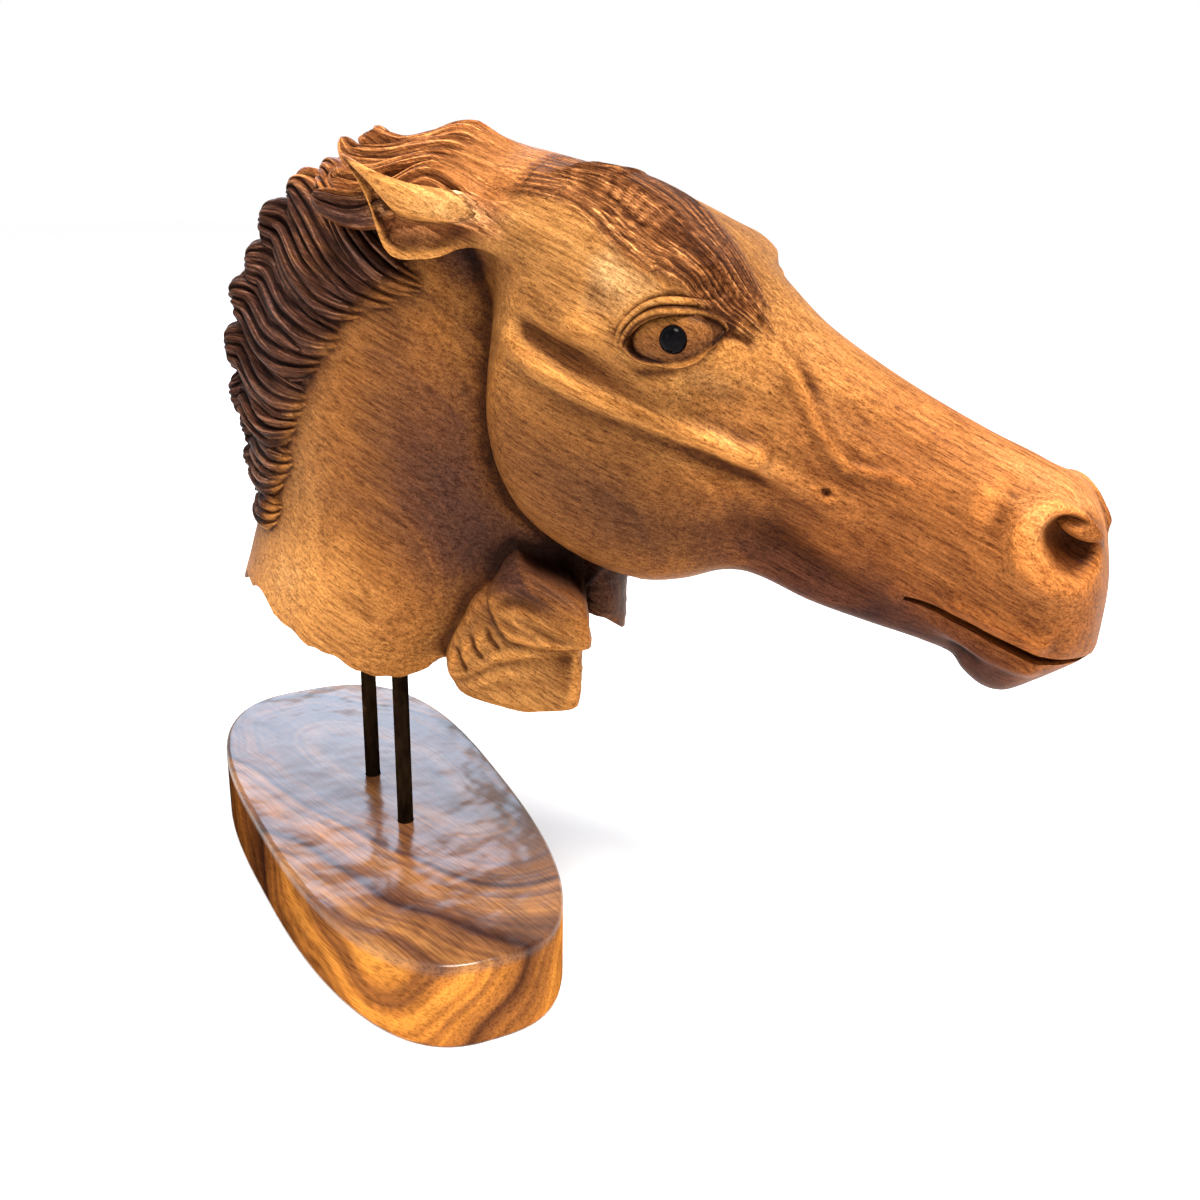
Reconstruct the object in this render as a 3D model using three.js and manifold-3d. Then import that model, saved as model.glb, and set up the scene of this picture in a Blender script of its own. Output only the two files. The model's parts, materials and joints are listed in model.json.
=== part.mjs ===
// A carved wooden horse head and neck, standing on two steel rods in an oval wooden base.
// Millimetres, +Z up. The origin is the centre of the base's underside, and the horse faces +X.
import * as THREE from "three";
import { mergeVertices } from "three/addons/utils/BufferGeometryUtils.js";
import Module from "manifold-3d";

// The base: an oval slab of wood, turned in plan from the way the horse faces.
const baseLength = 325;
const baseWidth = 135;
const baseThickness = 42;
const baseEdgeRound = 3;
const baseSquareness = 2.75;
const baseTaper = 0.106;
const baseTurn = THREE.MathUtils.degToRad(-37.3);

// The rods: two round steel bars, let into the base and into the underside of the neck.
const rodDiameter = 8;
const rodSpacing = 58;
const rodDepthInBase = 30;
const rodDepthInNeck = 40;
const rodOffsetX = 2.5;
const rodOffsetY = 1.2;
const fitGap = 0.3;

// The carving: every form of the head and neck is a share of the head's length, poll to lips.
const headLength = 300;
const share = headLength / 300;
const neckClearance = 100;
const headPitch = THREE.MathUtils.degToRad(27);
const headRoll = THREE.MathUtils.degToRad(5);
const beadDiameter = 11;
const beadThickness = 8;

const wasm = await Module();
wasm.setup();

// A smooth line through [position, value] pairs, as a function of position.
function profile(pairs) {
  const at = pairs.map(([p]) => p);
  const value = pairs.map(([, v]) => v);
  const last = pairs.length - 1;
  const slope = (i) => {
    const low = Math.max(i - 1, 0);
    const high = Math.min(i + 1, last);
    return (value[high] - value[low]) / (at[high] - at[low]);
  };
  return (p) => {
    if (p <= at[0]) return value[0];
    if (p >= at[last]) return value[last];
    const i = at.findIndex((q) => q > p) - 1;
    const gap = at[i + 1] - at[i];
    const t = (p - at[i]) / gap;
    const ease = t * t * (3 - 2 * t);
    const rise = t * (1 - t) * ((1 - t) * slope(i) - t * slope(i + 1)) * gap;
    return value[i] * (1 - ease) + value[i + 1] * ease + rise;
  };
}

// A closed solid skinned over rings of points, each ring as long as the next, with a fan at each end.
function skin(rings) {
  const count = rings[0].length;
  const middle = (ring) => ring.reduce((sum, p) => sum.add(p), new THREE.Vector3()).divideScalar(count);
  const points = [...rings.flat(), middle(rings[0]), middle(rings.at(-1))];
  const first = points.length - 2;
  const index = [];
  for (let r = 0; r + 1 < rings.length; r++) {
    for (let k = 0; k < count; k++) {
      const a = r * count + k;
      const b = r * count + ((k + 1) % count);
      index.push(a, b, b + count, a, b + count, a + count);
    }
  }
  const end = (rings.length - 1) * count;
  for (let k = 0; k < count; k++) {
    index.push(first, (k + 1) % count, k, first + 1, end + k, end + ((k + 1) % count));
  }
  const geometry = new THREE.BufferGeometry().setFromPoints(points);
  geometry.setIndex(index);
  return geometry;
}

// The solid inside a closed geometry, facing out whichever way its rings ran.
function solid(geometry) {
  const bare = geometry.index ? geometry.clone() : mergeVertices(geometry);
  bare.deleteAttribute("normal");
  bare.deleteAttribute("uv");
  const merged = mergeVertices(bare, 1e-4);
  const position = merged.attributes.position.array;
  const corner = Array.from(merged.index.array);
  const triangles = [];
  let volume = 0;
  const vertex = (i) => new THREE.Vector3(position[3 * i], position[3 * i + 1], position[3 * i + 2]);
  for (let i = 0; i < corner.length; i += 3) {
    const [a, b, c] = corner.slice(i, i + 3);
    if (a === b || b === c || c === a) continue;
    triangles.push([a, b, c]);
    volume += vertex(a).dot(vertex(b).cross(vertex(c)));
  }
  const outward = volume < 0 ? triangles.map(([a, b, c]) => [a, c, b]) : triangles;
  return new wasm.Manifold(
    new wasm.Mesh({
      numProp: 3,
      vertProperties: new Float32Array(position),
      triVerts: new Uint32Array(outward.flat()),
    }),
  );
}

// The outer skin of a joined solid. A pocket sealed in between joined pieces is left out, so it is filled.
function geometryOf(manifold) {
  const mesh = manifold.getMesh();
  const corner = mesh.triVerts;
  const head = Array.from({ length: mesh.vertProperties.length / 3 }, (_, i) => i);
  const find = (i) => {
    while (head[i] !== i) i = head[i] = head[head[i]];
    return i;
  };
  for (let i = 0; i < corner.length; i += 3) {
    head[find(corner[i])] = find(corner[i + 1]);
    head[find(corner[i + 1])] = find(corner[i + 2]);
  }
  const skins = new Map();
  for (let i = 0; i < corner.length; i += 3) {
    const skinOf = find(corner[i]);
    if (!skins.has(skinOf)) skins.set(skinOf, []);
    skins.get(skinOf).push(corner[i], corner[i + 1], corner[i + 2]);
  }
  const outer = [...skins.values()].reduce((most, next) => (next.length > most.length ? next : most));
  const geometry = new THREE.BufferGeometry();
  geometry.setAttribute("position", new THREE.BufferAttribute(mesh.vertProperties, 3));
  geometry.setIndex(outer);
  return geometry;
}

const clamp01 = (value) => THREE.MathUtils.clamp(value, 0, 1);
const unite = (solids) => solids.reduce((whole, piece) => whole.add(piece));

// A point of a closed Catmull-Rom loop, at place u of its corners.
function loopPoint(corners, u) {
  const n = corners.length;
  const i = Math.floor(u);
  const t = u - i;
  const [a, b, c, d] = [-1, 0, 1, 2].map((k) => corners[(((i + k) % n) + n) % n]);
  const along = (p, q, r, s) =>
    0.5 * (2 * q + (r - p) * t + (2 * p - 5 * q + 4 * r - s) * t * t + (3 * q - p - 3 * r + s) * t ** 3);
  return [along(a[0], b[0], c[0], d[0]), along(a[1], b[1], c[1], d[1])];
}

// The skull, in the head's own frame: along from the poll to the lips, out to the side, and up.
const noseLine = profile([
  [-22, 0], [0, 7], [20, 12], [45, 20], [75, 23], [98, 21], [120, 15], [145, 9.5], [180, 7.5],
  [220, 8.5], [248, 11], [262, 10], [274, 4], [284, -8], [292, -20], [298, -33], [301, -40],
]);
const jawLine = profile([
  [-22, -40], [0, -54], [18, -64], [28, -82], [38, -101], [50, -116], [61, -125], [73, -131], [92, -134],
  [112, -133], [133, -127], [148, -116], [160, -103], [172, -96], [200, -91], [226, -84], [246, -78],
  [258, -76], [266, -79], [276, -80], [284, -76], [291, -64], [297, -52], [301, -44],
]);
const bridgeHalf = profile([
  [-22, 12], [0, 18], [30, 26], [70, 33], [88, 38], [97, 40], [105, 37], [113, 29], [125, 25], [150, 20],
  [190, 16], [235, 15], [258, 18], [276, 18], [290, 14], [298, 7], [301, 3],
]);
const browHalf = profile([
  [-22, 20], [0, 29], [25, 37], [60, 43], [85, 47], [101, 50], [112, 47], [120, 42], [135, 35], [160, 29],
  [190, 25], [235, 25], [262, 30], [278, 28], [290, 21], [298, 11], [301, 4],
]);
const crestHalf = profile([
  [-22, 22], [0, 31], [30, 40], [60, 46], [100, 47], [130, 44], [160, 38], [190, 31], [235, 29],
  [262, 32], [280, 29], [291, 23], [298, 13], [301, 5],
]);
const cheekHalf = profile([
  [-22, 18], [0, 25], [20, 30], [32, 37], [42, 44], [60, 48], [90, 47], [120, 43], [143, 36], [160, 30],
  [190, 27], [235, 25], [262, 27], [280, 25], [291, 20], [298, 11], [301, 4],
]);
const jawHalf = profile([
  [-22, 10], [0, 15], [20, 20], [32, 28], [45, 34], [60, 37], [90, 38], [120, 34], [145, 28], [165, 22],
  [200, 20], [235, 17], [255, 16], [275, 15], [288, 12], [298, 7], [301, 2],
]);
const heightShares = [0.05, 0.17, 0.41, 0.68, 0.92];

// The corners of the head's section at one place along it, from the top round both sides.
function headCorners(along) {
  const top = noseLine(along);
  const depth = top - jawLine(along);
  const halves = [bridgeHalf, browHalf, crestHalf, cheekHalf, jawHalf].map((half) => half(along));
  const side = halves.map((half, i) => [half, top - heightShares[i] * depth]);
  const mirrored = side.map(([out, up]) => [-out, up]).reverse();
  return [[0, top], ...side, [0, jawLine(along)], ...mirrored];
}

// The carving of the cheeks: soft ridges and hollows, by their place in side view.
function lineDistance(points, along, up) {
  let best = Infinity;
  for (let i = 0; i + 1 < points.length; i++) {
    const [ax, ay] = points[i];
    const [bx, by] = points[i + 1];
    const span = (bx - ax) ** 2 + (by - ay) ** 2;
    const t = Math.min(1, Math.max(0, ((along - ax) * (bx - ax) + (up - ay) * (by - ay)) / span));
    best = Math.min(best, Math.hypot(along - ax - t * (bx - ax), up - ay - t * (by - ay)));
  }
  return best;
}
const ridges = [
  { name: "cheekbone arch", points: [[26, -33], [40, -30], [54, -30], [71, -27],
    [84, -24]], rise: 3.2, reach: 7 },
  { name: "groove under the arch", points: [[40, -42], [64, -42], [82, -39],
    [96, -34]], rise: -4.6, reach: 5.5 },
  { name: "facial crest", points: [[34, -49], [60, -51], [89, -48], [120, -41.5], [148, -38],
    [160, -34]], rise: 4.5, reach: 6 },
  { name: "brow", points: [[84, 10], [92, 14], [100, 14], [106, 9]], rise: 3, reach: 6.5 },
  { name: "vein", points: [[142, -1], [159, -9], [177, -19], [193, -20], [216, -12]], rise: 2.6, reach: 4.5 },
  { name: "nostril rim", points: [[268, 9], [259, 8], [254, 0], [255, -9], [262, -16], [272, -18],
    [282, -16]], rise: 5.6, reach: 6 },
  { name: "nostril front", points: [[284, 4], [290, -3], [290, -10]], rise: 2, reach: 5 },
  { name: "upper lip", points: [[240, -48], [262, -43], [286, -38]], rise: 3.2, reach: 5 },
  { name: "lower lip", points: [[242, -61], [266, -57], [290, -51]], rise: 3, reach: 5 },
];
const hollows = [
  { name: "temple", at: [66, -12], reach: [18, 10], sink: 3.4 },
  { name: "under the eye", at: [128, -22], reach: [22, 9], sink: 3.4 },
  { name: "beside the nose", at: [186, -5], reach: [32, 7], sink: 3 },
  { name: "under the crest", at: [151, -46], reach: [16, 6], sink: 4.4 },
  { name: "behind the nostril", at: [245, -6], reach: [8, 16], sink: 3 },
  { name: "in front of the cheek", at: [180, -62], reach: [20, 14], sink: 2.4 },
];
function carving(along, up) {
  let rise = 0;
  for (const ridge of ridges) {
    rise += ridge.rise * Math.exp(-((lineDistance(ridge.points, along, up) / ridge.reach) ** 2));
  }
  for (const { at, reach, sink } of hollows) {
    rise -= sink * Math.exp(-(((along - at[0]) / reach[0]) ** 2) - ((up - at[1]) / reach[1]) ** 2);
  }
  return rise;
}

// A point of the head's surface: along it, and at place u of its section, in the head's own frame.
function headPoint(along, u, lift = 0) {
  const corners = headCorners(along);
  const [out, up] = loopPoint(corners, u);
  const [out1, up1] = loopPoint(corners, u + 0.02);
  const run = Math.hypot(out1 - out, up1 - up) || 1;
  const normal = [-(up1 - up) / run, (out1 - out) / run];
  const sideways = Math.min(1, Math.abs(normal[0]) * 1.4);
  const rise = carving(along, up) * sideways + lift;
  return new THREE.Vector3(along, out + normal[0] * rise, up + normal[1] * rise);
}

// How far out the side of the head lies at one place in side view.
function headSide(along, up) {
  const corners = headCorners(along);
  let best = 0;
  for (let u = 0; u < corners.length / 2; u += 0.05) {
    const [out, height] = loopPoint(corners, u);
    const [out1, height1] = loopPoint(corners, u + 0.05);
    if (height >= up && height1 < up) {
      best = Math.max(best, out + ((out1 - out) * (height - up)) / (height - height1));
    }
  }
  return best + carving(along, up);
}

// The head stands in the model's frame with its poll here, pitched down and rolled a little.
const poll = new THREE.Vector3(88, 0, 253);
const headTurn = new THREE.Matrix4()
  .makeRotationY(headPitch)
  .multiply(new THREE.Matrix4().makeRotationX(headRoll));
const undersideHeight = 33;
const neckUnderside = baseThickness + neckClearance;
const carvingFoot = new THREE.Vector3(rodOffsetX, rodOffsetY, neckUnderside - undersideHeight * share);
const intoPlace = (point) => point.multiplyScalar(share).add(carvingFoot);
const fromHead = (point) => intoPlace(point.applyMatrix4(headTurn).add(poll));

const headStations = [];
for (let along = -22; along < 299; along += along > 240 ? 5.5 : along > 165 ? 10 : 7.5) {
  headStations.push(along);
}
headStations.push(301);
const oneSide = [0.6, 1.2, 1.8, 2.15, 2.45, 2.7, 2.95, 3.2, 3.45, 3.75, 4.1, 4.5, 4.9, 5.4];
const headAround = [0, ...oneSide, 6, ...oneSide.map((u) => 12 - u).reverse()];

function skull() {
  const rings = headStations.map((along) => headAround.map((u) => fromHead(headPoint(along, u))));
  return solid(skin(rings));
}

// The neck with the body of its mane, in flat sections. Heights are above the carving's lowest point.
const neckBack = profile([
  [-14, -76], [12, -82], [39, -84], [66, -75], [92, -66], [105, -62], [141, -66], [166, -64],
  [191, -58], [211, -48], [231, -34], [246, -16], [258, 10],
]);
const neckFront = profile([
  [-14, 60], [14, 66], [36, 82], [51, 93], [71, 103], [91, 109], [110, 112], [141, 108], [191, 102],
  [231, 104], [258, 108],
]);
const neckHalf = profile([
  [-14, 40], [12, 45], [39, 48], [66, 48], [92, 45], [141, 38], [191, 33], [231, 28], [258, 18],
]);
const neckShares = [[0, 0], [0.05, 0.36], [0.2, 0.7], [0.45, 1], [0.68, 0.98], [0.84, 0.66],
  [0.95, 0.36], [1, 0]];

function neckCorners(height) {
  const back = neckBack(height);
  const depth = neckFront(height) - back;
  const half = neckHalf(height);
  const near = neckShares.map(([along, out]) => [back + along * depth, -out * half]);
  const far = near.slice(1, -1).map(([x, y]) => [x, -y]).reverse();
  return [...near, ...far];
}
function neckSide(x, height) {
  const back = neckBack(height);
  const depth = neckFront(height) - back;
  const place = (x - back) / depth;
  return place <= 0 ? 0 : profile(neckShares)(Math.min(place, 1)) * neckHalf(height);
}
const neckHeights = [-14, 8, 30, 50, 72, 96, 126, 156, 186, 212, 238, 258];
const neckAround = 24;

function neckBlock() {
  const rings = neckHeights.map((height) => {
    const corners = neckCorners(height);
    return Array.from({ length: neckAround }, (_, k) => {
      const [x, y] = loopPoint(corners, (k * corners.length) / neckAround);
      return intoPlace(new THREE.Vector3(x, y, height));
    });
  });
  return solid(skin(rings));
}

// The broken lower edge of the neck, in side view: everything below it is cut away.
const tornEdge = [
  [-110, 60], [-92, 44], [-84, 45], [-72, 53], [-58, 52], [-46, 50], [-34, 43], [-18, 38], [-4, 34], [9, 31],
  [22, 26], [31, 23], [42, 24], [50, 30], [58, 34], [70, 30], [120, 26], [120, -40], [-110, -40],
];
function tornCut() {
  const outline = new THREE.Shape(tornEdge.map(([x, z]) => new THREE.Vector2(x * share, z * share)));
  const depth = 160 * share;
  const geometry = new THREE.ExtrudeGeometry(outline, { depth, bevelEnabled: false });
  geometry.rotateX(Math.PI / 2);
  geometry.translate(carvingFoot.x, carvingFoot.y + depth / 2, carvingFoot.z);
  return solid(geometry);
}

// A lock of hair: a flat tapering sweep along a curve, with furrows along its outer face.
function lock(points, facing, width, thickness, furrows = 2, stations = 5, around = 7) {
  const curve = new THREE.CatmullRomCurve3(points, false, "centripetal");
  const rings = [];
  for (let i = 0; i < stations; i++) {
    const t = i / (stations - 1);
    const centre = curve.getPoint(t);
    const ahead = curve.getTangent(t);
    const across = new THREE.Vector3().crossVectors(ahead, facing).normalize();
    const outward = new THREE.Vector3().crossVectors(across, ahead).normalize();
    const swell = Math.sqrt(Math.max(0.09, Math.min(1, 4 * t + 0.3) * (1 - t ** 5)));
    rings.push(
      Array.from({ length: around }, (_, k) => {
        const turn = (2 * Math.PI * k) / around;
        const side = Math.cos(turn);
        const rise = Math.sin(turn) * (1 + 0.22 * Math.cos(side * Math.PI * furrows));
        return centre
          .clone()
          .addScaledVector(across, (side * width * swell) / 2)
          .addScaledVector(outward, (rise * thickness * swell) / 2);
      }),
    );
  }
  return solid(skin(rings));
}

// The mane: each row is a lock of it, by the place of its root and of its tip in side view, and its width.
const maneRows = [
  [[62, 203], [-21, 249], 22], [[49, 201], [-41, 238], 27], [[33, 195], [-58, 227], 31], [[19, 185],
    [-69, 207], 33],
  [[5, 171], [-79, 188], 32], [[-6, 156], [-86, 166], 32], [[-14, 142], [-84, 142], 30], [[-22, 128],
    [-78, 123], 29],
  [[-29, 115], [-76, 106], 27], [[-35, 102], [-69, 90], 25],
];

function mane() {
  const locks = [];
  for (const side of [-1, 1]) {
    maneRows.forEach(([root, tip, width], i) => {
      const start = i % 2 ? [root[0] + 6, root[1] - 5] : [root[0] + 2, root[1] - 2];
      const end = side > 0 ? [tip[0] + 3, tip[1] + 4 * Math.sin(i * 2.1)] : tip;
      const hook = 3.5 + 1.5 * Math.sin(i * 1.9);
      const bows = [[0, -1], [0.28, -7], [0.55, -5], [0.8, 3], [0.93, hook], [1, 0.4 * hook]];
      const points = bows.map(([s, bow]) => {
        const x = start[0] + (end[0] - start[0]) * s;
        const z = start[1] + (end[1] - start[1]) * s + bow * (1 - 0.05 * i);
        const sunk = s === 0 ? 5 : 1.5;
        const out = Math.max(neckSide(x, z), 5) * (1 - 0.22 * s) - sunk;
        return intoPlace(new THREE.Vector3(x, side * out, z));
      });
      const facing = new THREE.Vector3(0.1, side, 0.15);
      locks.push(lock(points, facing, width * share, (17 - 3 * (i % 2)) * share));
    });
  }
  return locks;
}

// The tuft that streams back over the poll, between the ears.
function tuft() {
  const locks = [];
  for (const [i, out] of [-37, -27, -17, -6, 6, 18, 28].entries()) {
    const drop = 0.012 * out * out;
    const wave = 2 * Math.cos(i * 2.1);
    const spine = [
      [98, 242 - drop], [82, 254 - drop], [63, 263 + wave - drop], [45, 261 - 1.2 * drop],
      [28, 258 - 1.4 * drop], [12, 262 + wave - 1.6 * drop],
        [4 + 5 * (i % 2), 272 - 3 * (i % 2) - 1.8 * drop],
    ];
    const points = spine.map(([x, z], k) => intoPlace(new THREE.Vector3(x, out * (0.8 + 0.05 * k), z)));
    locks.push(lock(points, new THREE.Vector3(0, out * 0.03, 1), 20 * share, 17 * share, 2, 8, 7));
  }
  return locks;
}

// The forelock: shallow locks that fan forward over the brow from between the ears.
function forelock() {
  const locks = [];
  const count = 8;
  for (let i = 0; i < count; i++) {
    const s = (2 * i) / (count - 1) - 1;
    const reach = [126, 104, 120, 132, 134, 118, 106, 126][i];
    const points = [0, 0.2, 0.45, 0.75, 1].map((k) => {
      const along = -6 + (reach + 6) * k;
      const u = s * (0.8 + 0.75 * Math.sin(Math.min(1, k * 1.2) * 1.6));
      return fromHead(headPoint(along, u < 0 ? u + 12 : u, 1.8 - 3.5 * k ** 3));
    });
    const facing = new THREE.Vector3(0, s * 0.7, 1).applyMatrix4(headTurn);
    locks.push(lock(points, facing, 16 * share, 9 * share, 1, 7, 6));
  }
  return locks;
}

// The ears: laid back, each a leaf between two rims, with its hollow turned outwards.
const earUpper = [[58, 36, 2], [34, 38.5, 0], [14, 42.5, -2], [-4, 47, -8], [-24, 49.5, -15],
  [-44, 48, -19.5], [-62, 44, -22]];
const earLower = [[54, 37, -24], [30, 39.5, -25], [10, 43.5, -28], [-8, 47, -41], [-24, 48.5, -46.5],
  [-42, 49, -30], [-62, 44, -22.8]];
const earHollow = profile([[0, 0], [0.28, 0], [0.4, 4], [0.6, 5.2], [0.85, 3.6], [0.95, 1], [1, 0]]);
const earHollowStart = profile([[0, 0.7], [0.28, 0.66], [0.4, 0.45], [0.6, 0.38], [0.85, 0.42], [1, 0.6]]);
const earThickness = profile([[0, 10], [0.15, 10], [0.4, 8], [0.85, 4], [1, 1.2]]);

function ear(side) {
  const curveOf = (rim) => new THREE.CatmullRomCurve3(rim.map((p) => new THREE.Vector3(...p)), false,
    "catmullrom");
  const [upper, lower] = [curveOf(earUpper), curveOf(earLower)];
  const steps = 12;
  const rings = Array.from({ length: steps + 1 }, (_, i) => {
    const t = i / steps;
    const [top, bottom] = [upper.getPoint(t), lower.getPoint(t)];
    const start = earHollowStart(t);
    const thick = earThickness(t);
    const dip = (f) => earHollow(t) * Math.sin(Math.PI * clamp01((f - start) / (0.9 - start)));
    const rim = (f) => Math.sin(Math.PI * THREE.MathUtils.clamp(f, 0.02, 0.98)) ** 0.4;
    const face = (f, rise) => {
      const point = top.clone().lerp(bottom, f);
      point.y += rise;
      return fromHead(new THREE.Vector3(point.x, side * point.y, point.z));
    };
    const outer = [0, 0.12, 0.3, 0.45, 0.58, 0.7, 0.82, 0.92, 1].map((f) => face(f,
      0.3 * thick * (rim(f) - 1) - dip(f)));
    const inner = [0.85, 0.5, 0.15].map((f) => face(f, -thick * (0.3 + 0.7 * rim(f)) - 0.8 * dip(f)));
    return [...outer, ...inner];
  });
  return solid(skin(rings));
}

// The eyes: a ball in an almond of lids, with a bore for the bead that is its pupil.
const eyeAt = [105, -11];
const eyeTilt = THREE.MathUtils.degToRad(37.5);
function eyeFrame(side) {
  const out = headSide(...eyeAt);
  const centre = fromHead(new THREE.Vector3(eyeAt[0], side * out, eyeAt[1]));
  const along = new THREE.Vector3(Math.cos(eyeTilt), 0, Math.sin(eyeTilt)).applyMatrix4(headTurn);
  const outward = new THREE.Vector3(0.22, side, 0.18).normalize().applyMatrix4(headTurn);
  const up = new THREE.Vector3().crossVectors(outward, along).multiplyScalar(-side).normalize();
  return { centre, along, outward, up };
}
const eyeHalfLength = 19;
const lidRise = 10.5;
const lidFall = 8;
function eyePoint({ centre, along, outward, up }, x, y, z) {
  return centre
    .clone()
    .addScaledVector(along, x * share)
    .addScaledVector(up, y * share)
    .addScaledVector(outward, z * share);
}
function almond(frame, grow, depths) {
  const around = 14;
  const rings = depths.map(([z, size]) =>
    Array.from({ length: around }, (_, k) => {
      const turn = (2 * Math.PI * k) / around;
      const x = (eyeHalfLength + grow) * Math.cos(turn);
      const height = Math.sin(turn) > 0 ? lidRise + grow : lidFall + grow;
      const y = height * Math.sin(turn) * Math.abs(Math.sin(turn)) ** 0.3;
      return eyePoint(frame, x * size, y * size, z);
    }),
  );
  return solid(skin(rings));
}
function eyeball(frame) {
  const ball = new THREE.SphereGeometry(1, 14, 8);
  const basis = new THREE.Matrix4().makeBasis(frame.along, frame.up, frame.outward);
  ball.scale(17.5 * share, 11.5 * share, 8.2 * share);
  ball.applyMatrix4(basis);
  const place = eyePoint(frame, 1, 0, -6);
  ball.translate(place.x, place.y, place.z);
  return solid(ball);
}
const beadAt = [3.2, 0.6];
function bead(frame, grow = 0) {
  const disc = new THREE.SphereGeometry(1, 16, 8);
  const basis = new THREE.Matrix4().makeBasis(frame.along, frame.up, frame.outward);
  disc.scale((beadDiameter + grow) / 2, (beadDiameter + grow) / 2, (beadThickness + grow) / 2);
  disc.applyMatrix4(basis);
  const place = eyePoint(frame, ...beadAt, 2);
  disc.translate(place.x, place.y, place.z);
  return solid(disc);
}

// The nostrils and the slit of the mouth, cut into the muzzle.
function nostril(side) {
  const out = headSide(270, -2) - 3;
  const centre = fromHead(new THREE.Vector3(270.5, side * out, -3));
  const outward = new THREE.Vector3(0.3, side, 0.12).normalize().applyMatrix4(headTurn);
  const along = new THREE.Vector3(1, 0, 0.1).applyMatrix4(headTurn);
  along.addScaledVector(outward, -along.dot(outward)).normalize();
  const up = new THREE.Vector3().crossVectors(outward, along).multiplyScalar(-side).normalize();
  const frame = { centre, along, outward, up };
  const rings = [[14, 1.12], [5, 1.03], [-4, 0.92], [-10, 0.75], [-15, 0.3]].map(([z, size]) =>
    Array.from({ length: 14 }, (_, k) => {
      const turn = (2 * Math.PI * k) / 14;
      const x = 13.5 * size * Math.cos(turn) - 0.12 * z;
      return eyePoint(frame, x, size * (10.2 * Math.sin(turn) - 3 * Math.cos(turn)), z);
    }),
  );
  return solid(skin(rings));
}
function mouth(side) {
  const line = [[231, -57.5], [240, -54.5], [249, -52.5], [262, -50], [288, -46.5], [306, -42]];
  const gap = profile([[0, 1.8], [0.35, 3.6], [0.65, 4.6], [0.85, 4.2], [1, 2.6]]);
  const rings = line.map(([along, up], i) => {
    const half = gap(i / (line.length - 1)) / 2;
    const inner = Math.max(3, headSide(Math.min(along, 297), up) - 9);
    return [[inner, -0.4 * half], [inner + 5, -half], [60, -half], [60, half], [inner + 5, half],
      [inner, 0.4 * half]].map(
      ([out, rise]) => fromHead(new THREE.Vector3(along, side * out, up + rise)),
    );
  });
  return solid(skin(rings));
}

// The front of the neck breaks off in folded leaves, one standing over the other, and a lobe on the far side.
const throatBehind = profile([[15, 84], [17, 68], [20, 62], [25, 59], [31, 57], [38, 57], [46, 60],
  [56, 66], [70, 74], [100, 88]]);
const throatFront = profile([
  [15, 92], [17, 106], [20, 113], [23, 126], [25, 132], [40, 134], [52, 134], [54, 135], [56, 140],
    [66, 139.5],
  [74, 136], [79, 128], [83, 116], [87, 102], [93, 90],
]);
const upperLeafEdge = profile([[87, 73], [90, 66], [94, 59], [99, 54], [111, 53], [126, 54], [142, 57]]);
const stepLine = profile([[60, 24], [74, 30], [89, 40], [100, 44], [115, 48], [136, 52]]);
const leafCrest = profile([[84, 68], [88, 71], [97, 77], [110, 80], [125, 76], [136, 71], [142, 66]]);
const throatHeights = [15, 17, 20, 24, 32, 40, 47, 52, 54, 57, 62, 68, 73, 78, 83, 88, 93];

function throatDepth(x, z, behind, front) {
  const past = Math.max(z - leafCrest(x) + 2, 0);
  const leaf = clamp01((z - upperLeafEdge(x)) / 1.6 + 0.5) * clamp01((x - 84) / 5);
  const under = 1 - clamp01((z - stepLine(x)) / 2.2 + 0.5);
  const back = 8 * (1 - clamp01((x - behind) / 9)) ** 2;
  const tip = 2.5 * (1 - clamp01((front - x) / 2.5)) ** 2;
  const foot = 8 * (1 - clamp01((z - 15) / 8)) ** 2;
  const bulge = 34 + 5 * Math.sin(Math.PI * clamp01((x - 55) / 110));
  return bulge + 3.6 * leaf - 2 * under * clamp01((z - 14) / 8) - (1.25 * past * past) / (past + 5)
    - back - tip - foot;
}
function throatLeaves() {
  const rings = throatHeights.map((z) => {
    const [behind, front] = [throatBehind(z), throatFront(z)];
    const nearX = [0, 0.06, 0.14, 0.24, 0.36, 0.48, 0.6, 0.72, 0.84, 0.95,
      1].map((f) => behind + (front - behind) * f);
    const near = nearX.map((x) => [x, -throatDepth(x, z, behind, front)]);
    const farX = [front - 0.6, front - 12, front - 30, behind + 1];
    const far = farX.map((x) => [x, Math.min(8, near.at(-1)[1] + 4 + 1.25 * (front - x))]);
    return [...near, ...far].map(([x, y]) => intoPlace(new THREE.Vector3(x, y, z)));
  });
  return solid(skin(rings));
}
const lobeOutline = [[90, 66], [92, 84], [110, 96], [128, 90], [131, 76], [131, 60], [129.5, 46],
  [121, 55], [110, 60], [98, 64]];
function throatLobe() {
  const middle = lobeOutline.reduce((sum, p) => sum.map((v, k) => v + p[k] / lobeOutline.length), [0, 0]);
  const rings = [[-3, 0.4], [-4, 0.8], [2, 1], [20, 1], [27, 0.7]].map(([y, size]) =>
    lobeOutline.map(([x, z]) =>
      intoPlace(new THREE.Vector3(middle[0] + (x - middle[0]) * size, y, middle[1] + (z - middle[1]) * size)),
    ),
  );
  return solid(skin(rings));
}

const sides = [-1, 1];
const frames = sides.map(eyeFrame);

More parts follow.
